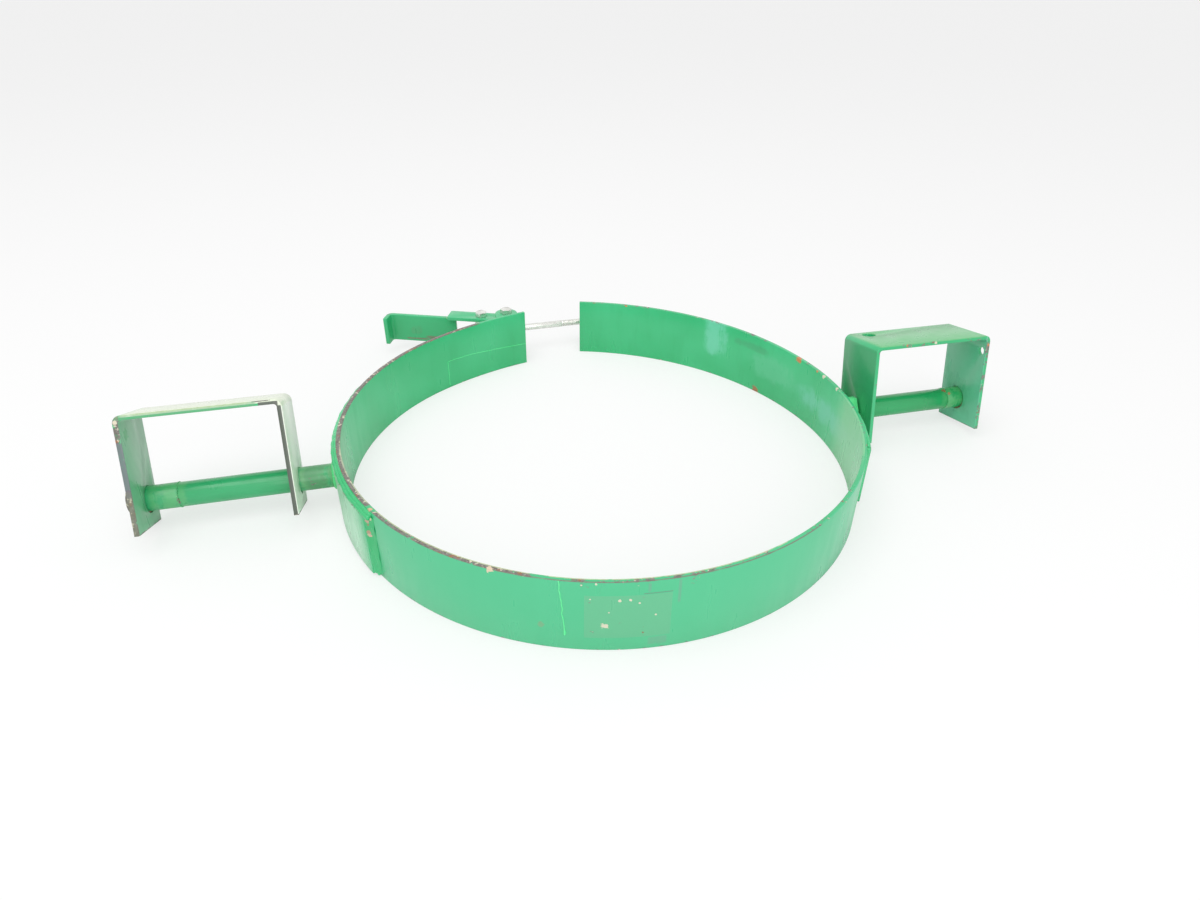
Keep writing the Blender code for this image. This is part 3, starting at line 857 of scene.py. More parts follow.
def along_shaft(side):
    return Matrix.Translation((RING.x, RING.y, SHAFT_HEIGHT)) @ Matrix.Rotation(side * math.pi / 2, 4, "Y")


def round_shaft(side, radius, at):
    """Points round a shaft's axis, at a distance from the ring's middle."""
    ring = [Vector((*on_circle(360 * i / 48, radius).xy, at)) for i in range(48)]
    return [along_shaft(side) @ point for point in ring]


def make_shaft(name, side, paint, steel):
    """Round bar turned down at its outer end, where a sleeve is welded on."""
    seat = DRUM_RADIUS + BAND_THICKNESS + 2 * WELD_GAP + SADDLE_THICKNESS
    lay = along_shaft(side)
    across = Matrix.Translation((0, 0, END_PIN_REACH)) @ Matrix.Rotation(math.pi / 2, 4, "Y")
    shaft = drum(name + "_bar", SHAFT_RADIUS, seat, SLEEVE_START - WELD_GAP)
    edit(shaft)
    pick(shaft, "faces", lambda face: face.normal.z > 0.9)
    bpy.ops.mesh.inset(thickness=SHAFT_RADIUS - SPIGOT_RADIUS, depth=0)
    extrude(0, 0, SLEEVE_LENGTH + WELD_GAP)
    leave()
    round_edges(shaft, BAR_EDGE)
    sleeve = ring_piece(name + "_sleeve", SLEEVE_INNER, SLEEVE_RADIUS, SLEEVE_START, SHAFT_REACH)
    round_edges(sleeve, WASHER_EDGE)
    for part in (shaft, sleeve):
        hole = drum("pin_hole", END_PIN_RADIUS + WELD_GAP, -END_PIN_LENGTH, END_PIN_LENGTH, 24)
        cut(part, move(hole, across))
        move(part, lay)
    finish(shaft, "ring", "green_paint", paint, name + "_shaft")
    finish(sleeve, "ring", "green_paint", paint, name + "_shaft_sleeve")
    half = END_PIN_LENGTH / 2
    pin = round_edges(drum(name + "_roll_pin", END_PIN_RADIUS, -half, half, 24), 0.0005)
    finish(move(pin, lay @ across), "ring", "dark_steel", steel, name + "_end_pin")
    high = END_WASHER_SEAT + END_WASHER_THICKNESS
    bore = SLEEVE_RADIUS + WELD_GAP
    washer = ring_piece(name + "_washer", bore, END_WASHER_RADIUS, END_WASHER_SEAT, high)
    round_edges(washer, WASHER_EDGE)
    finish(move(washer, lay), "ring", "dark_steel", steel, name + "_end_washer")


def drill_bracket(piece, sizes):
    """Small hole through the web and one through the outer leg."""
    inner, drop, rear = sizes
    top = BRACKET_LEG - drop
    outer = inner + BRACKET_WIDTH
    hole = drum("web_hole", WEB_HOLE_RADIUS, top - 0.01, top + 0.005, 48)
    at_web = Matrix.Translation((inner + WEB_HOLE_FROM_LEG, rear - WEB_HOLE_FROM_REAR, 0))
    cut(piece, move(hole, at_web))
    hole = drum("leg_hole", LEG_HOLE_RADIUS, outer - 0.01, outer + 0.005, 40)
    at_leg = Matrix.Translation((0, rear - BRACKET_DEPTH + LEG_HOLE_FROM_FRONT, top - LEG_HOLE_FROM_TOP))
    cut(piece, move(hole, at_leg @ Matrix.Rotation(math.pi / 2, 4, "Y")))


def make_bracket(name, side, sizes, paint, steel):
    piece = fork_bracket(name + "_bracket_plate", side, sizes)
    if name == "right":
        drill_bracket(piece, sizes)
    round_edges(piece, PLATE_EDGE)
    place = bracket_place(sizes)
    move(piece, place)
    outer = sizes[0] + BRACKET_WIDTH - BRACKET_PLATE / 2
    sideways = Matrix.Rotation(side * math.pi / 2, 4, "Y")
    # A dark steel ring fills the gap round the sleeve in the outer leg's hole: painted shade for the shadow
    # in that gap
    gap_shade = drum(name + "_hole_shade", BRACKET_HOLE_RADIUS - 0.0001, outer - 0.001, outer + 0.001)
    move(gap_shade, place @ Matrix.Translation((0, 0, -BRACKET_HOLE_DROP)) @ sideways)
    bore = drum("gap_shade_bore", SLEEVE_RADIUS + 0.0001, outer - 0.01, outer + 0.01)
    cut(gap_shade, move(bore, place @ sideways))
    finish(gap_shade, name + "_bracket", "dark_steel", steel)
    finish(piece, name + "_bracket", "green_paint", paint, name + "_fork_bracket")


def lever_place():
    axis = math.pi - math.radians(LEVER_OPEN)
    return Matrix.Translation(PIVOT) @ Matrix.Rotation(axis, 4, "Z")


def rod_place():
    axis = math.pi - math.radians(LEVER_OPEN)
    at = PIVOT + Vector((math.cos(axis), math.sin(axis), 0)) * ROD_THROW
    return Matrix.Translation(at) @ Matrix.Rotation(ROD_TURN, 4, "Z")


def make_straps(paint):
    half = STRAP_WIDTH / 2
    for name, low in (("upper", STRAP_LOW), ("lower", -STRAP_LOW - STRAP_THICKNESS)):
        strap = block(name + "_strap", (-half, -half, low), (STRAP_REACH, half, low + STRAP_THICKNESS))
        edit(strap, "EDGE")
        for at_end, radius, segments in ((False, half * 0.999, 14), (True, STRAP_CORNER, 5)):
            pick(strap, "edges", lambda edge: is_upright(edge) and (edge.verts[0].co.x > 0.05) == at_end)
            bpy.ops.mesh.bevel(offset=radius, segments=segments, affect="EDGES")
        leave()
        for x in (0, ROD_THROW):
            hole = drum("strap_hole", BOLT_RADIUS + BOLT_HOLE_GAP, low - 0.005, low + 0.010, 32)
            cut(strap, move(hole, Matrix.Translation((x, 0, 0))))
        round_edges(strap, BAR_EDGE)
        move(strap, lever_place())
        finish(strap, "lever", "green_paint", paint, name + "_lever_strap")


def is_upright(edge):
    first, second = (corner.co for corner in edge.verts)
    return (first - second).xy.length < 1e-6


def make_handle(paint):
    """Upright flat bar with its end bent over towards the ring."""
    start = Vector((HANDLE_START, 0, 0))
    handle = section("handle_bar", HANDLE_THICKNESS, HANDLE_HEIGHT, start, math.pi / 2)
    edit_all(handle)
    straight = HANDLE_REACH - HANDLE_BEND - HANDLE_START
    for share in (0.4, 0.6):
        extrude(straight * share, 0, 0)
    centre = (HANDLE_REACH - HANDLE_BEND, HANDLE_BEND - HANDLE_THICKNESS / 2, 0)
    spin_on(math.pi / 2, centre, (0, 0, 1), BEND_STEPS)
    extrude(0, HANDLE_LIP - HANDLE_BEND, 0)
    close_up(handle)
    round_edges(handle, WORN_EDGE, 3)
    move(handle, lever_place())
    finish(handle, "lever", "green_paint", paint, "lever_handle")


def band_face(arc, x):
    """Y of the band's outer face at X on the side of the gap."""
    centre, radius, _, _ = band_arcs()[arc]
    reach = radius + BAND_THICKNESS
    return centre.y + math.sqrt(reach**2 - (x - centre.x) ** 2)


def make_ears(paint, metal):
    half = EAR_HALF_WIDTH
    for name, strap_low in (("upper", STRAP_LOW), ("lower", -STRAP_LOW - STRAP_THICKNESS)):
        low = strap_low + EAR_LOW
        foot = band_face(0, PIVOT.x) - PIVOT.y + EAR_FOOT_GAP
        ear = block(name + "_ear", (-half, foot, low), (half, half, low + EAR_THICKNESS))
        edit(ear, "EDGE")
        pick(ear, "edges", lambda edge: is_upright(edge) and edge.verts[0].co.y > 0)
        bpy.ops.mesh.bevel(offset=half * 0.999, segments=16, affect="EDGES")
        leave()
        cut(ear, drum("ear_hole", BOLT_RADIUS + BOLT_HOLE_GAP, low - 0.01, low + 0.02, 32))
        round_edges(ear, PLATE_EDGE)
        finish(move(ear, Matrix.Translation(PIVOT)), "ring", "green_paint", paint, name + "_clamp_ear")
        head = low + EAR_THICKNESS + SEAT_GAP
        nut_low = strap_low - SEAT_GAP - THIN_NUT_HEIGHT
        screw = bolt(name + "_bolt", head - nut_low + THREAD_SHOWING, 0.0075)
        turned = Matrix.Translation((*PIVOT.xy, PIVOT.z + head)) @ Matrix.Rotation(0.35, 4, "Z")
        finish(move(screw, turned), "ring", "bright_zinc", metal, name + "_pivot_bolt")
        low_nut = nut(name + "_nut", THIN_NUT_HEIGHT)
        at_nut = Matrix.Translation((*PIVOT.xy, PIVOT.z + nut_low))
        finish(move(low_nut, at_nut), "ring", "bright_zinc", metal, name + "_pivot_nut")


def make_rod_bolt(metal):
    head = STRAP_LOW + STRAP_THICKNESS + SEAT_GAP
    washer_low = -head - WASHER_THICKNESS
    nut_low = washer_low - SEAT_GAP - THIN_NUT_HEIGHT
    at_rod = lever_place() @ Matrix.Translation((ROD_THROW, 0, 0))
    screw = bolt("long_bolt", head - nut_low + THREAD_SHOWING, 0.016)
    turned = at_rod @ Matrix.Translation((0, 0, head)) @ Matrix.Rotation(0.12, 4, "Z")
    finish(move(screw, turned), "lever", "bright_zinc", metal, "rod_bolt")
    high = washer_low + WASHER_THICKNESS
    washer = ring_piece("long_bolt_washer", WASHER_BORE, WASHER_RADIUS, washer_low, high)
    round_edges(washer, FINE_EDGE)
    finish(move(washer, at_rod), "lever", "bright_zinc", metal, "rod_bolt_washer")
    low_nut = nut("long_bolt_nut", THIN_NUT_HEIGHT)
    at_nut = at_rod @ Matrix.Translation((0, 0, nut_low))
    finish(move(low_nut, at_nut), "lever", "bright_zinc", metal, "rod_bolt_nut")


def make_draw_rod(metal):
    place = rod_place()
    half = STRAP_LOW - BARREL_PLAY
    barrel = ring_piece("rod_eye", BOLT_RADIUS + BOLT_HOLE_GAP, BARREL_RADIUS, -half, half)
    round_edges(barrel, PLATE_EDGE)
    finish(move(barrel, place), "draw_rod", "bright_zinc", metal, "rod_barrel")
    along = Matrix.Rotation(math.pi / 2, 4, "Y")
    washer_low = LUG_AT + LUG_THICKNESS / 2 + CLAMP_SLACK
    nut_low = washer_low + ROD_WASHER_THICKNESS + SEAT_GAP
    lock_low = nut_low + NUT_HEIGHT + SEAT_GAP
    rod_end = lock_low + THIN_NUT_HEIGHT + ROD_END
    bar = round_edges(drum("rod_bar", ROD_RADIUS, ROD_START, ROD_THREAD_START, 32), FINE_EDGE)
    core = drum("rod_core", ROD_RADIUS * THREAD_ROOT, ROD_THREAD_START - 0.002, rod_end, 32)
    round_edges(core, 0.0008)
    join(bar, core, thread("rod_thread", ROD_RADIUS, ROD_THREAD_START, rod_end))
    finish(move(bar, place @ along), "draw_rod", "bright_zinc", metal, "draw_rod")
    high = washer_low + ROD_WASHER_THICKNESS
    washer = ring_piece("lug_washer", WASHER_BORE, ROD_WASHER_RADIUS, washer_low, high)
    round_edges(washer, FINE_EDGE)
    finish(move(washer, place @ along), "tension_nuts", "bright_zinc", metal, "rod_washer")
    for name, at, height in (("tension_nut", nut_low, NUT_HEIGHT), ("lock_nut", lock_low, THIN_NUT_HEIGHT)):
        part = move(nut(name + "_hex", height), place @ Matrix.Translation((at, 0, 0)) @ along)
        finish(part, "tension_nuts", "bright_zinc", metal, name)


def make_lug(paint):
    for name in ("upper", "lower"):
        low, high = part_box(name + "_lug_rib")
        rib = block(name + "_rib", low, high)
        edit(rib, "EDGE")
        pick(rib, "edges", lambda edge: is_upright(edge) and edge.verts[0].co.y > low.y + 0.01)
        bpy.ops.mesh.bevel(offset=LUG_CORNER, segments=4, affect="EDGES")
        leave()
        round_edges(rib, PLATE_EDGE)
        finish(rib, "ring", "green_paint", paint, name + "_lug_rib")


def dribble(name, points, width, bulb, paint):
    """Raised run of paint, thicker at its last point."""
    run, spline = path_through(name, points, "NURBS")
    run.data.bevel_depth = width / 2
    run.data.bevel_resolution = 3
    run.data.use_fill_caps = True
    for point, share in zip(spline.points[-3:], (1.2, bulb, bulb * 0.8)):
        point.radius = share
    spline.use_endpoint_u = True
    spline.resolution_u = 6
    take(run)
    bpy.ops.object.convert(target="MESH")
    finish(bpy.context.object, "ring", "green_paint", paint, angle=60)


def make_dribbles(paint):
    front = []
    for i in range(24):
        share = i / 23
        waver = 0.32 * noise.noise(Vector((share * 9, 3.1, 0)))
        front.append(on_band(248.4 + 0.9 * share + waver, 0.0786 - 0.0616 * share, True))
    dribble("front_paint_run", front, RUN_WIDTH, 2.2, paint)
    centre, radius, _, _ = band_arcs()[0]

    def on_spring(angle, height):
        return centre + on_circle(angle, radius) + Vector((0, 0, height))

    corners = ((123.3, 0.0396), (118.2, 0.0380), (113.5, 0.0343), (105.4, 0.0306))
    line = []
    for (first, high), (second, low) in zip(corners, corners[1:]):
        for share in (i / 8 for i in range(8)):
            angle = first + (second - first) * share
            waver = 0.0006 * noise.noise(Vector((angle * 1.7, 0, 5)))
            line.append(on_spring(angle, high + (low - high) * share + waver))
    line.append(on_spring(105.35, 0.0306))
    dribble("back_paint_line", line, THIN_RUN_WIDTH, 1.0, paint)
    down = []
    for i in range(11):
        waver = 0.12 * noise.noise(Vector((i * 0.8, 9, 0)))
        down.append(on_spring(123.45 + waver, 0.0396 - 0.0036 * i))
    dribble("back_paint_run", down, THIN_RUN_WIDTH, 1.3, paint)


def make_stop_lug(paint):
    """Small lug on the right shaft, that keeps the bracket off the saddle plate."""
    corners = [(STOP_LUG_START, RING.y + out, SHAFT_HEIGHT + up) for out, up in STOP_LUG]
    lug = flat_shape("right_stop_lug", corners)
    edit_all(lug)
    extrude(STOP_LUG_LENGTH, 0, 0)
    close_up(lug)
    round_edges(lug, 0.0012)
    finish(lug, "ring", "green_paint", paint)


def beside_band(start, sweep, height, out, count):
    """Row of points round the band, a little outside its outer face."""
    points = []
    for i in range(count):
        angle = start + sweep * i / (count - 1)
        turned = angle % 360
        if turned < 90:
            turned += 360
        points.append(on_band(turned, height, True) + on_circle(angle, out))
    return points


def end_fillet(name, angle, side, reach, seed):
    """Smooth run of weld between the band and the upright end of a saddle plate."""
    foot = on_band(angle, SADDLE_LOW + 0.0004, True)
    outwards = on_circle(angle, 1)
    along = on_circle(angle + 90 * side, 1)
    # Its section: along the band, and out from it
    profile = (
        (-0.0008, -0.0006),
        (-0.0008, 0.0056),
        (0.0012, 0.0052),
        (0.0035, 0.0028),
        (reach, 0.0004),
        (reach, -0.0006),
    )
    bead = flat_shape(name, [foot + along * away + outwards * out for away, out in profile])
    edit_all(bead)
    steps = 22
    for _ in range(steps):
        extrude(0, 0, (SADDLE_HIGH - SADDLE_LOW + 0.001) / steps)
    close_up(bead)
    apply(bead, "SUBSURF", levels=2, render_levels=2)
    for corner in bead.data.vertices:
        swell = noise.noise(corner.co * 130 + Vector((seed, 0, 0))) * 0.0011
        corner.co += outwards * swell
    return bead


def fillet_paint():
    end = sum(LEFT_SADDLE)
    chip = on_band(end + 0.4, 0.0665, True) + on_circle(end, 0.003)
    spots = (
        (tone(190, 164, 140), 0.0026, chip + Vector((0, 0, 0.001))),
        (tone(206, 192, 166), 0.0026, chip + on_circle(end + 90, 0.003) + Vector((0, 0, 0.005))),
        (tone(150, 118, 92), 0.0018, chip - Vector((0, 0, 0.003))),
        (tone(176, 148, 122), 0.0026, chip - Vector((0, 0, 0.012))),
        (tone(200, 178, 152), 0.0022, chip - Vector((0, 0, 0.0155))),
    )
    tones = (tone(44, 178, 108), tone(60, 190, 124), tone(26, 148, 80))
    return green_paint("fillet_paint", spots=spots, tones=tones)


def lay_bead(name, points, width, paint, body="ring", **settings):
    finish(weld(name, points, width, **settings), body, "green_paint", paint, angle=60)


def sleeve_bead(name, side, paint):
    """Low bead where the sleeve starts."""
    points = round_shaft(side, SLEEVE_RADIUS - 0.0006, SLEEVE_START)
    lay_bead(name + "_sleeve_weld", points, SLEEVE_BEAD, paint, closed=True, seed=21 + side)


def saddle_welds(paint):
    # Plate, edge, the bead's width, how far out from the band and how high its middle lies
    for name, edge, width, out, height in (
        ("left", "top", 0.0078, 0.0026, SADDLE_HIGH + 0.0008),
        ("left", "upper", 0.0076, 0.0002, SADDLE_HIGH + 0.0031),
        ("left", "bottom", 0.0044, 0.0014, SADDLE_LOW + 0.0004),
        ("right", "top", 0.0064, 0.0022, SADDLE_HIGH + 0.0014),
        ("right", "bottom", 0.0044, 0.0014, SADDLE_LOW + 0.0004),
    ):
        start, sweep = LEFT_SADDLE if name == "left" else RIGHT_SADDLE
        points = beside_band(start + 0.4, sweep + (0.7 if name == "left" else -0.8), height, out, 60)
        seed = len(name) + int(height * 100)
        lay_bead(f"{name}_saddle_{edge}_weld", points, width, paint, pitch=LONG_RIPPLE_PITCH, seed=seed)
    fillet = end_fillet("left_saddle_front_weld", sum(LEFT_SADDLE), 1, 0.0088, 3)
    finish(fillet, "ring", "green_paint", fillet_paint(), angle=60)
    spread = SADDLE_HIGH - SADDLE_LOW - 0.001
    for name, angle, side in (
        ("left_saddle_back", LEFT_SADDLE[0], -1),
        ("right_saddle_front", 360 + RIGHT_SADDLE[0], -1),
        ("right_saddle_back", 360 + sum(RIGHT_SADDLE), 1),
    ):
        foot = on_band(angle, SADDLE_LOW + 0.003, True)
        foot = foot + on_circle(angle, 0.0022) + on_circle(angle + 90 * side, 0.0016)
        points = [foot + Vector((0, 0, spread * i / 9)) for i in range(10)]
        lay_bead(name + "_weld", points, SADDLE_END_BEAD, paint, seed=int(angle))


def shaft_welds(paint):
    seat = DRUM_RADIUS + BAND_THICKNESS + SADDLE_THICKNESS
    # Side, how far along the shaft and how far out from it the bead lies, its width, its seed
    for name, side, along, out, width, seed in (
        ("left_shaft_weld_0", -1, 0.0016, 0.0004, 0.0056, 7),
        ("right_shaft_weld_1", 1, 0.0030, 0.0018, 0.0095, 10),
    ):
        points = round_shaft(side, SHAFT_RADIUS + out, seat + along)
        lay_bead(name, points, width, paint, height_share=0.85, closed=True, seed=seed)


def clamp_welds(paint):
    for name, strap_low in (("upper", STRAP_LOW), ("lower", -STRAP_LOW - STRAP_THICKNESS)):
        ear_low = PIVOT.z + strap_low + EAR_LOW
        for edge, height in (("under", ear_low - 0.0004), ("over", ear_low + EAR_THICKNESS + 0.0004)):
            xs = [PIVOT.x + EAR_HALF_WIDTH * (0.9 - 1.8 * i / 9) for i in range(10)]
            points = [Vector((x, band_face(0, x) + 0.0012, height)) for x in xs]
            lay_bead(f"{name}_ear_{edge}_weld", points, EAR_BEAD, paint, seed=int(height * 1000))
        low_corner, high_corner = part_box(name + "_lug_rib")
        for side, x in (("left", low_corner.x - 0.0003), ("right", high_corner.x + 0.0003)):
            foot = band_face(2, x) + 0.0012
            spread = high_corner.z - low_corner.z - 0.002
            points = [Vector((x, foot, low_corner.z + 0.001 + spread * i / 4)) for i in range(5)]
            lay_bead(f"{name}_rib_{side}_weld", points, RIB_BEAD, paint, seed=int(x * 1000))
    for name, height in (("upper", STRAP_LOW - 0.0004), ("lower", -STRAP_LOW + 0.0004)):
        for edge, side in (("outer", -1), ("inner", 1)):
            y = side * (HANDLE_THICKNESS / 2 + 0.0008)
            xs = [HANDLE_START + 0.0005 + 0.0092 * i / 4 for i in range(5)]
            points = [lever_place() @ Vector((x, y, height)) for x in xs]
            lay_bead(f"{name}_strap_weld_{edge}", points, STRAP_BEAD, paint, "lever", seed=side + 2)


FLOOR_GLOW = 0.62                         # share of the floor's white that only the camera sees
ROOM_LIGHT = 0.69


def make_floor():
    deselect()
    bpy.ops.mesh.primitive_plane_add(size=60, location=(0, 0, -0.0002))
    floor = named("floor")
    settle(floor)
    material, tree, shader, _ = blank("white_floor")
    shader.inputs["Base Color"].default_value = (0.94, 0.94, 0.94, 1)
    shader.inputs["Roughness"].default_value = 0.85
    shader.inputs["Specular IOR Level"].default_value = 0.2
    glow = node(tree, "Emission", Color=(1, 1, 1, 1), Strength=1.0)
    seen = node(tree, "LightPath").outputs["Is Camera Ray"]
    blend = node(tree, "MixShader", Fac=times(tree, seen, FLOOR_GLOW))
    tree.links.new(shader.outputs[0], blend.inputs[1])
    tree.links.new(glow.outputs[0], blend.inputs[2])
    tree.links.new(blend.outputs[0], tree.nodes["Material Output"].inputs["Surface"])
    floor.data.materials.append(material)


def make_light():
    world = bpy.data.worlds.new("soft_room")
    world.use_nodes = True
    bpy.context.scene.world = world
    tree = world.node_tree
    room = tree.nodes["Background"]
    room.inputs["Color"].default_value = (1, 1, 1, 1)
    room.inputs["Strength"].default_value = ROOM_LIGHT
    white = node(tree, "Background", Color=(1, 1, 1, 1), Strength=1.0)
    path = node(tree, "LightPath").outputs
    seen = maths(tree, "MAXIMUM", path["Is Camera Ray"], path["Is Glossy Ray"])
    seen = maths(tree, "MAXIMUM", seen, path["Is Transmission Ray"])
    blend = node(tree, "MixShader", Fac=seen)
    tree.links.new(room.outputs[0], blend.inputs[1])
    tree.links.new(white.outputs[0], blend.inputs[2])
    tree.links.new(blend.outputs[0], tree.nodes["World Output"].inputs["Surface"])
    for name, place, size, energy in (
        ("ceiling_panel", (-0.6, -0.6, 2.4), 2.2, 26),
        ("front_panel", (0.2, -2.4, 1.2), 1.6, 13),
    ):
        lamp = bpy.data.lights.new(name, "AREA")
        lamp.size = size
        lamp.energy = energy
        made = bpy.data.objects.new(name, lamp)
        bpy.context.collection.objects.link(made)
        made.location = place
        made.rotation_euler = (-Vector(place)).to_track_quat("-Z", "Y").to_euler()


CAMERA_PLACE = Vector((-0.2011, -0.80632, 0.5238))
CAMERA_PITCH = math.radians(32.62)
CAMERA_ROLL = math.radians(0.766)
CAMERA_YAW = math.radians(14.79)
CAMERA_LENS = 23.74
SENSOR_WIDTH = 36


def make_camera():
    ahead = Vector((
        math.sin(CAMERA_YAW) * math.cos(CAMERA_PITCH),
        math.cos(CAMERA_YAW) * math.cos(CAMERA_PITCH),
        -math.sin(CAMERA_PITCH),
    ))
    level = Vector((math.cos(CAMERA_YAW), -math.sin(CAMERA_YAW), 0))
    upright = level.cross(ahead)
    right = math.cos(CAMERA_ROLL) * level + math.sin(CAMERA_ROLL) * upright
    up = -math.sin(CAMERA_ROLL) * level + math.cos(CAMERA_ROLL) * upright
    lens = bpy.data.cameras.new("photo_camera")
    lens.lens = CAMERA_LENS
    lens.sensor_width = SENSOR_WIDTH
    camera = bpy.data.objects.new("photo_camera", lens)
    bpy.context.collection.objects.link(camera)
    camera.matrix_world = Matrix.Translation(CAMERA_PLACE) @ Matrix((right, up, -ahead)).transposed().to_4x4()
    bpy.context.scene.camera = camera


def left_bracket_paint():
    inner, drop, rear = LEFT_BRACKET
    top = BRACKET_LEG - drop
    edge = rear - BRACKET_DEPTH
    near = -inner
    far = near - BRACKET_WIDTH
    front = ("y", edge - 0.001, edge + 0.0008, 0.0004)
    outer_leg = ("x", far - 0.001, far + 0.0065, 0.0008)
    web = ("z", top - 0.0012, top + 0.001, 0.0005)
    web_top = (("z", top - 0.0024, top + 0.001, 0.0005), ("x", far + 0.006, near + 0.001, 0.006))
    inner_face = (("x", near - 0.0009, near + 0.001, 0.0003), ("z", -0.040, top, 0.003))
    inner_bend = (
        ("x", near - BRACKET_BEND, near + 0.001, 0.0008),
        ("z", top - BRACKET_BEND, top + 0.001, 0.0008),
    )
    outer_inside = (("x", far + 0.0040, far + 0.0060, 0.0004),)
    leg_front = (("x", near - 0.0060, near - 0.0007, 0.0003), ("z", -drop, top - 0.006, 0.0015))
    corner_scrape = (("x", near - 0.022, near - 0.003, 0.0015), ("z", top - 0.0090, top - 0.0016, 0.0004))
    web_front = (("z", top - 0.0050, top, 0.0004), ("x", far, near - 0.024, 0.004))
    wear = (
        (0.64, (front, outer_leg, ("z", -0.04, 0.020, 0.004))),
        (0.62, (front, outer_leg, ("z", 0.062, 0.10, 0.004))),
        (0.46, (front, web)),
        (0.50, (("y", rear - 0.0008, rear + 0.001, 0.0004),)),
        (0.55, (("z", -drop - 0.001, -drop + 0.0015, 0.0008),)),
    )
    # The first three tints are painted highlights: near-white glare on the web's top, on the inner leg's
    # ring-side face and on the bend between them
    tints = (
        (PAINTED_GLARE, 1.0, 0.25, web_top),
        (PAINTED_WHITE_GLARE, 1.0, 0.20, inner_face),
        (PAINTED_GLARE, 1.0, 0.20, inner_bend),
        (DUST, 0.85, 0.35, outer_inside),
    )
    marks = (
        (SLATE, 0.90, 0.80, (front, outer_leg, ("z", 0.010, 0.066, 0.003))),
        (tone(86, 90, 82), 0.98, 0.15, (front, *leg_front)),
        (tone(96, 100, 92), 0.97, 0.35, (front, *corner_scrape)),
        (tone(120, 128, 104), 0.45, 1.6, (front, outer_leg, ("z", -0.04, 0.018, 0.004))),
        (tone(112, 168, 124), 0.60, 0.8, (front, *web_front)),
        (tone(186, 208, 160), 0.8, 1.5, (front, ("x", far + 0.008, near - 0.030, 0.004), web)),
    )
    place = bracket_place(LEFT_BRACKET)
    leg = far + BRACKET_PLATE
    spots = (
        (tone(58, 172, 108), 0.0060, place @ Vector((leg, edge + 0.015, top - 0.021))),
        (CREAM, 0.0022, place @ Vector((leg - 0.002, edge, top - 0.006))),
    )
    return green_paint("left_bracket_paint", place, wear, tints, marks, spots)


def right_bracket_paint():
    inner, drop, rear = RIGHT_BRACKET
    top = BRACKET_LEG - drop
    edge = rear - BRACKET_DEPTH
    far = inner + BRACKET_WIDTH
    front = ("y", edge - 0.001, edge + 0.0008, 0.0004)
    web = ("z", top - 0.0012, top + 0.001, 0.0005)
    wear = (
        (0.38, (front,)),
        (0.46, (front, ("x", far - 0.006, far + 0.001, 0.001))),
        (0.50, (("y", rear - 0.0008, rear + 0.001, 0.0004),)),
        (0.50, (("z", -drop - 0.001, -drop + 0.0015, 0.0008),)),
    )
    tints = (
        # Painted highlight: the web's top is painted paler
        (tone(118, 192, 128), 0.70, 0.5, (web, ("x", inner + 0.004, far, 0.004))),
        # Painted shade: the inner leg's face towards the ring is painted darker
        (tone(56, 156, 102), 0.70, 0.5, (("x", inner - 0.001, inner + 0.0008, 0.0004),)),
        (tone(104, 196, 158), 1.0, 0.8, (("x", far - 0.0060, far - 0.0040, 0.0004),)),
    )
    place = bracket_place(RIGHT_BRACKET)
    spots = (
        (ORANGE, 0.0018, place @ Vector((inner + 0.040, edge, top - 0.002))),
        (CREAM, 0.0018, place @ Vector((inner + 0.078, edge, top - 0.002))),
        (ORANGE, 0.0022, place @ Vector((far - 0.002, edge, top - 0.012))),
    )
    return green_paint("right_bracket_paint", place, wear, tints, (), spots)


def shaft_paint(name, side, tones):
    """Paint on a bar: mottled where the sleeve starts and beside the ring, rusty past the bracket."""

    def stretch(low, high, soft):
        low, high = sorted((side * low, side * high))
        return ("x", low, high, soft)

    near_ring = stretch(0.296, 0.333, 0.004)
    by_sleeve = stretch(0.444, 0.480, 0.006)
    wear = (
        (0.30, (near_ring,)),
        (0.80, (stretch(0.4895, 0.51, 0.0015),)),
        (0.42, (stretch(SLEEVE_START - 0.0016, SLEEVE_START + 0.0016, 0.0006),)),
    )
    tints = (
        (tone(128, 188, 130), 0.70, 2.4, (near_ring,)),
        (tone(48, 134, 86), 0.60, 2.4, (stretch(0.300, 0.330, 0.010),)),
        (tone(104, 186, 120), 0.55, 2.4, (by_sleeve,)),
    )
    spots = ()
    if side > 0:
        top = Vector((SLEEVE_START, RING.y, SHAFT_HEIGHT + SLEEVE_RADIUS))
        spots = (
            (tone(164, 116, 70), 0.0026, top + Vector((-0.002, -0.003, 0))),
            (tone(176, 132, 84), 0.0020, top + Vector((0.003, -0.007, -0.003))),
        )
    return green_paint(name, wear=wear, tints=tints, spots=spots, tones=tones)


def saddle_paint():
    top_edge = ("z", SADDLE_HIGH - 0.001, SADDLE_HIGH + 0.001, 0.0005)
    left_front_reflection = ("a", 176, 205.5, 5)
    # The tint is a painted reflection: the left saddle's front stretch is painted pale, as the white
    # surroundings reflect in it
    return green_paint(
        "bar_paint",
        wear=((0.44, (top_edge,)),),
        tints=((tone(158, 216, 178), 1.0, 0.3, (left_front_reflection,)),),
    )


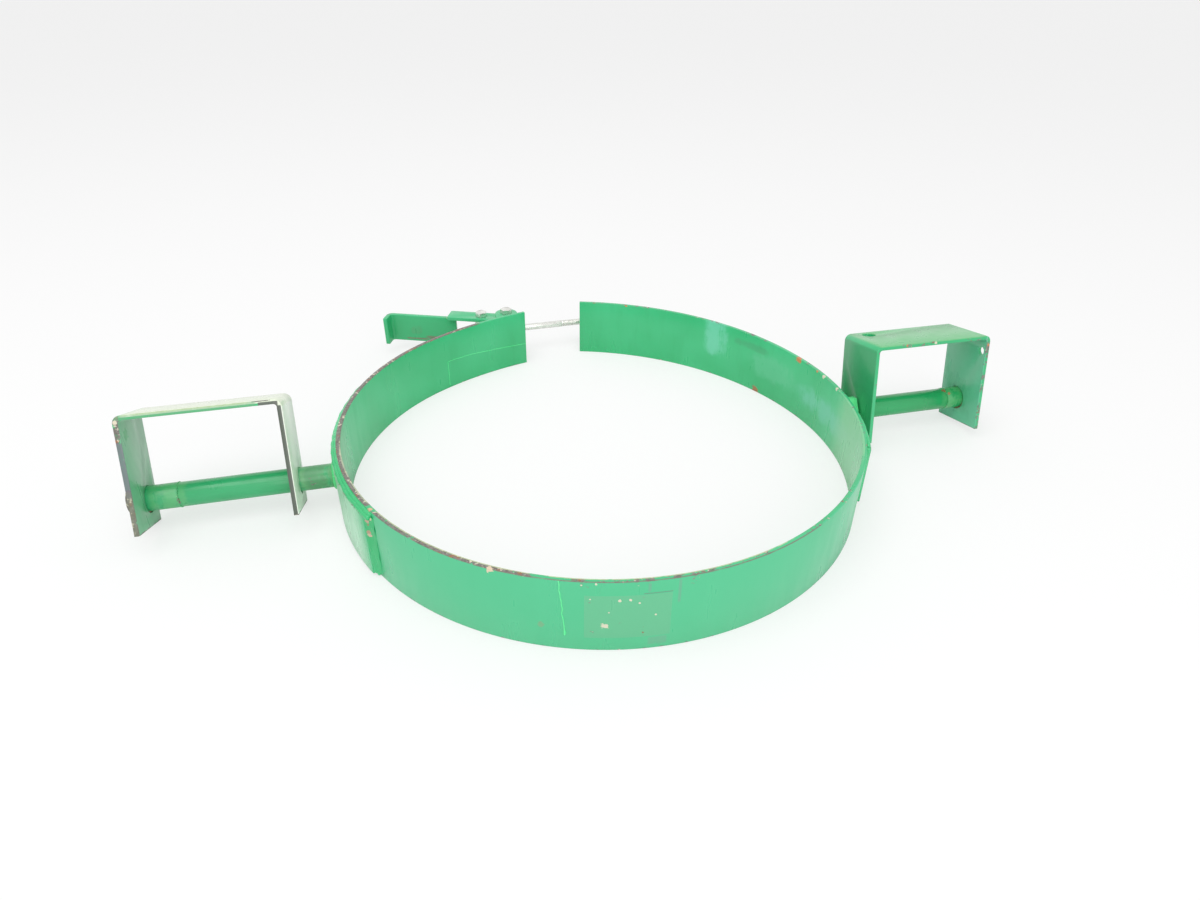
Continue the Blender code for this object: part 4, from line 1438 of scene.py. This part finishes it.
def clamp_paint():
    scuff = tone(128, 112, 96)
    return green_paint(
        "clamp_paint",
        wear=((0.38, (("z", 0.0550, 0.0562, 0.0006),)), (0.50, (("z", 0.0140, 0.0160, 0.0008),))),
        tints=((tone(50, 174, 112), 0.60, 0.3, (("x", -0.24, -0.13, 0.004), ("z", 0.0, 0.0545, 0.001))),),
        marks=(
            (tone(92, 148, 104), 0.30, 1.4, (("x", -0.198, -0.180, 0.005), ("z", 0.026, 0.040, 0.005))),
            (scuff, 0.75, 1.1, (("x", -0.206, -0.172, 0.004), ("z", 0.0178, 0.0206, 0.0008))),
            (scuff, 0.75, 1.1, (("x", -0.178, -0.148, 0.004), ("z", 0.0196, 0.0250, 0.0010))),
        ),
        spots=((CREAM, 0.0020, Vector((-0.1442, 0.3042, 0.0565))),),
    )


def main():
    make_band()
    bar = saddle_paint()
    clamp = clamp_paint()
    bead = green_paint("weld_paint", tones=(PAINT_THICK, tone(74, 206, 140), PAINT_DEEP))
    # Boss paint is a brighter green than the band's: painted highlight on the upward-facing weld collars and
    # stop lug
    boss_highlight = green_paint("boss_paint_with_highlight", tones=(tone(66, 208, 120), tone(98, 228, 146), PAINT_THICK))
    # Paint for the raised runs, coloured much paler than the band: painted highlight along the runs
    run = green_paint("thick_paint_with_highlight", tones=(tone(84, 232, 146), tone(110, 240, 168), PAINT_THICK))
    metal = zinc("zinc_plate")
    steel = dark_steel("oiled_steel")
    make_saddles(bar)
    left_tones = (tone(44, 164, 102), tone(58, 176, 116), tone(30, 140, 80))
    right_tones = (tone(26, 158, 88), tone(38, 168, 100), tone(18, 136, 72))
    for name, side, tones in (("left", -1, left_tones), ("right", 1, right_tones)):
        paint = shaft_paint(name + "_shaft_paint", side, tones)
        make_shaft(name, side, paint, steel)
        sleeve_bead(name, side, paint)
    make_bracket("left", -1, LEFT_BRACKET, left_bracket_paint(), steel)
    make_bracket("right", 1, RIGHT_BRACKET, right_bracket_paint(), steel)
    make_straps(clamp)
    make_handle(clamp)
    make_ears(clamp, metal)
    make_rod_bolt(metal)
    make_draw_rod(metal)
    make_lug(clamp)
    saddle_welds(bead)
    shaft_welds(boss_highlight)
    clamp_welds(bead)
    make_stop_lug(boss_highlight)
    make_dribbles(run)
    make_floor()
    make_light()
    make_camera()
    bpy.context.scene.view_settings.view_transform = "Standard"


main()
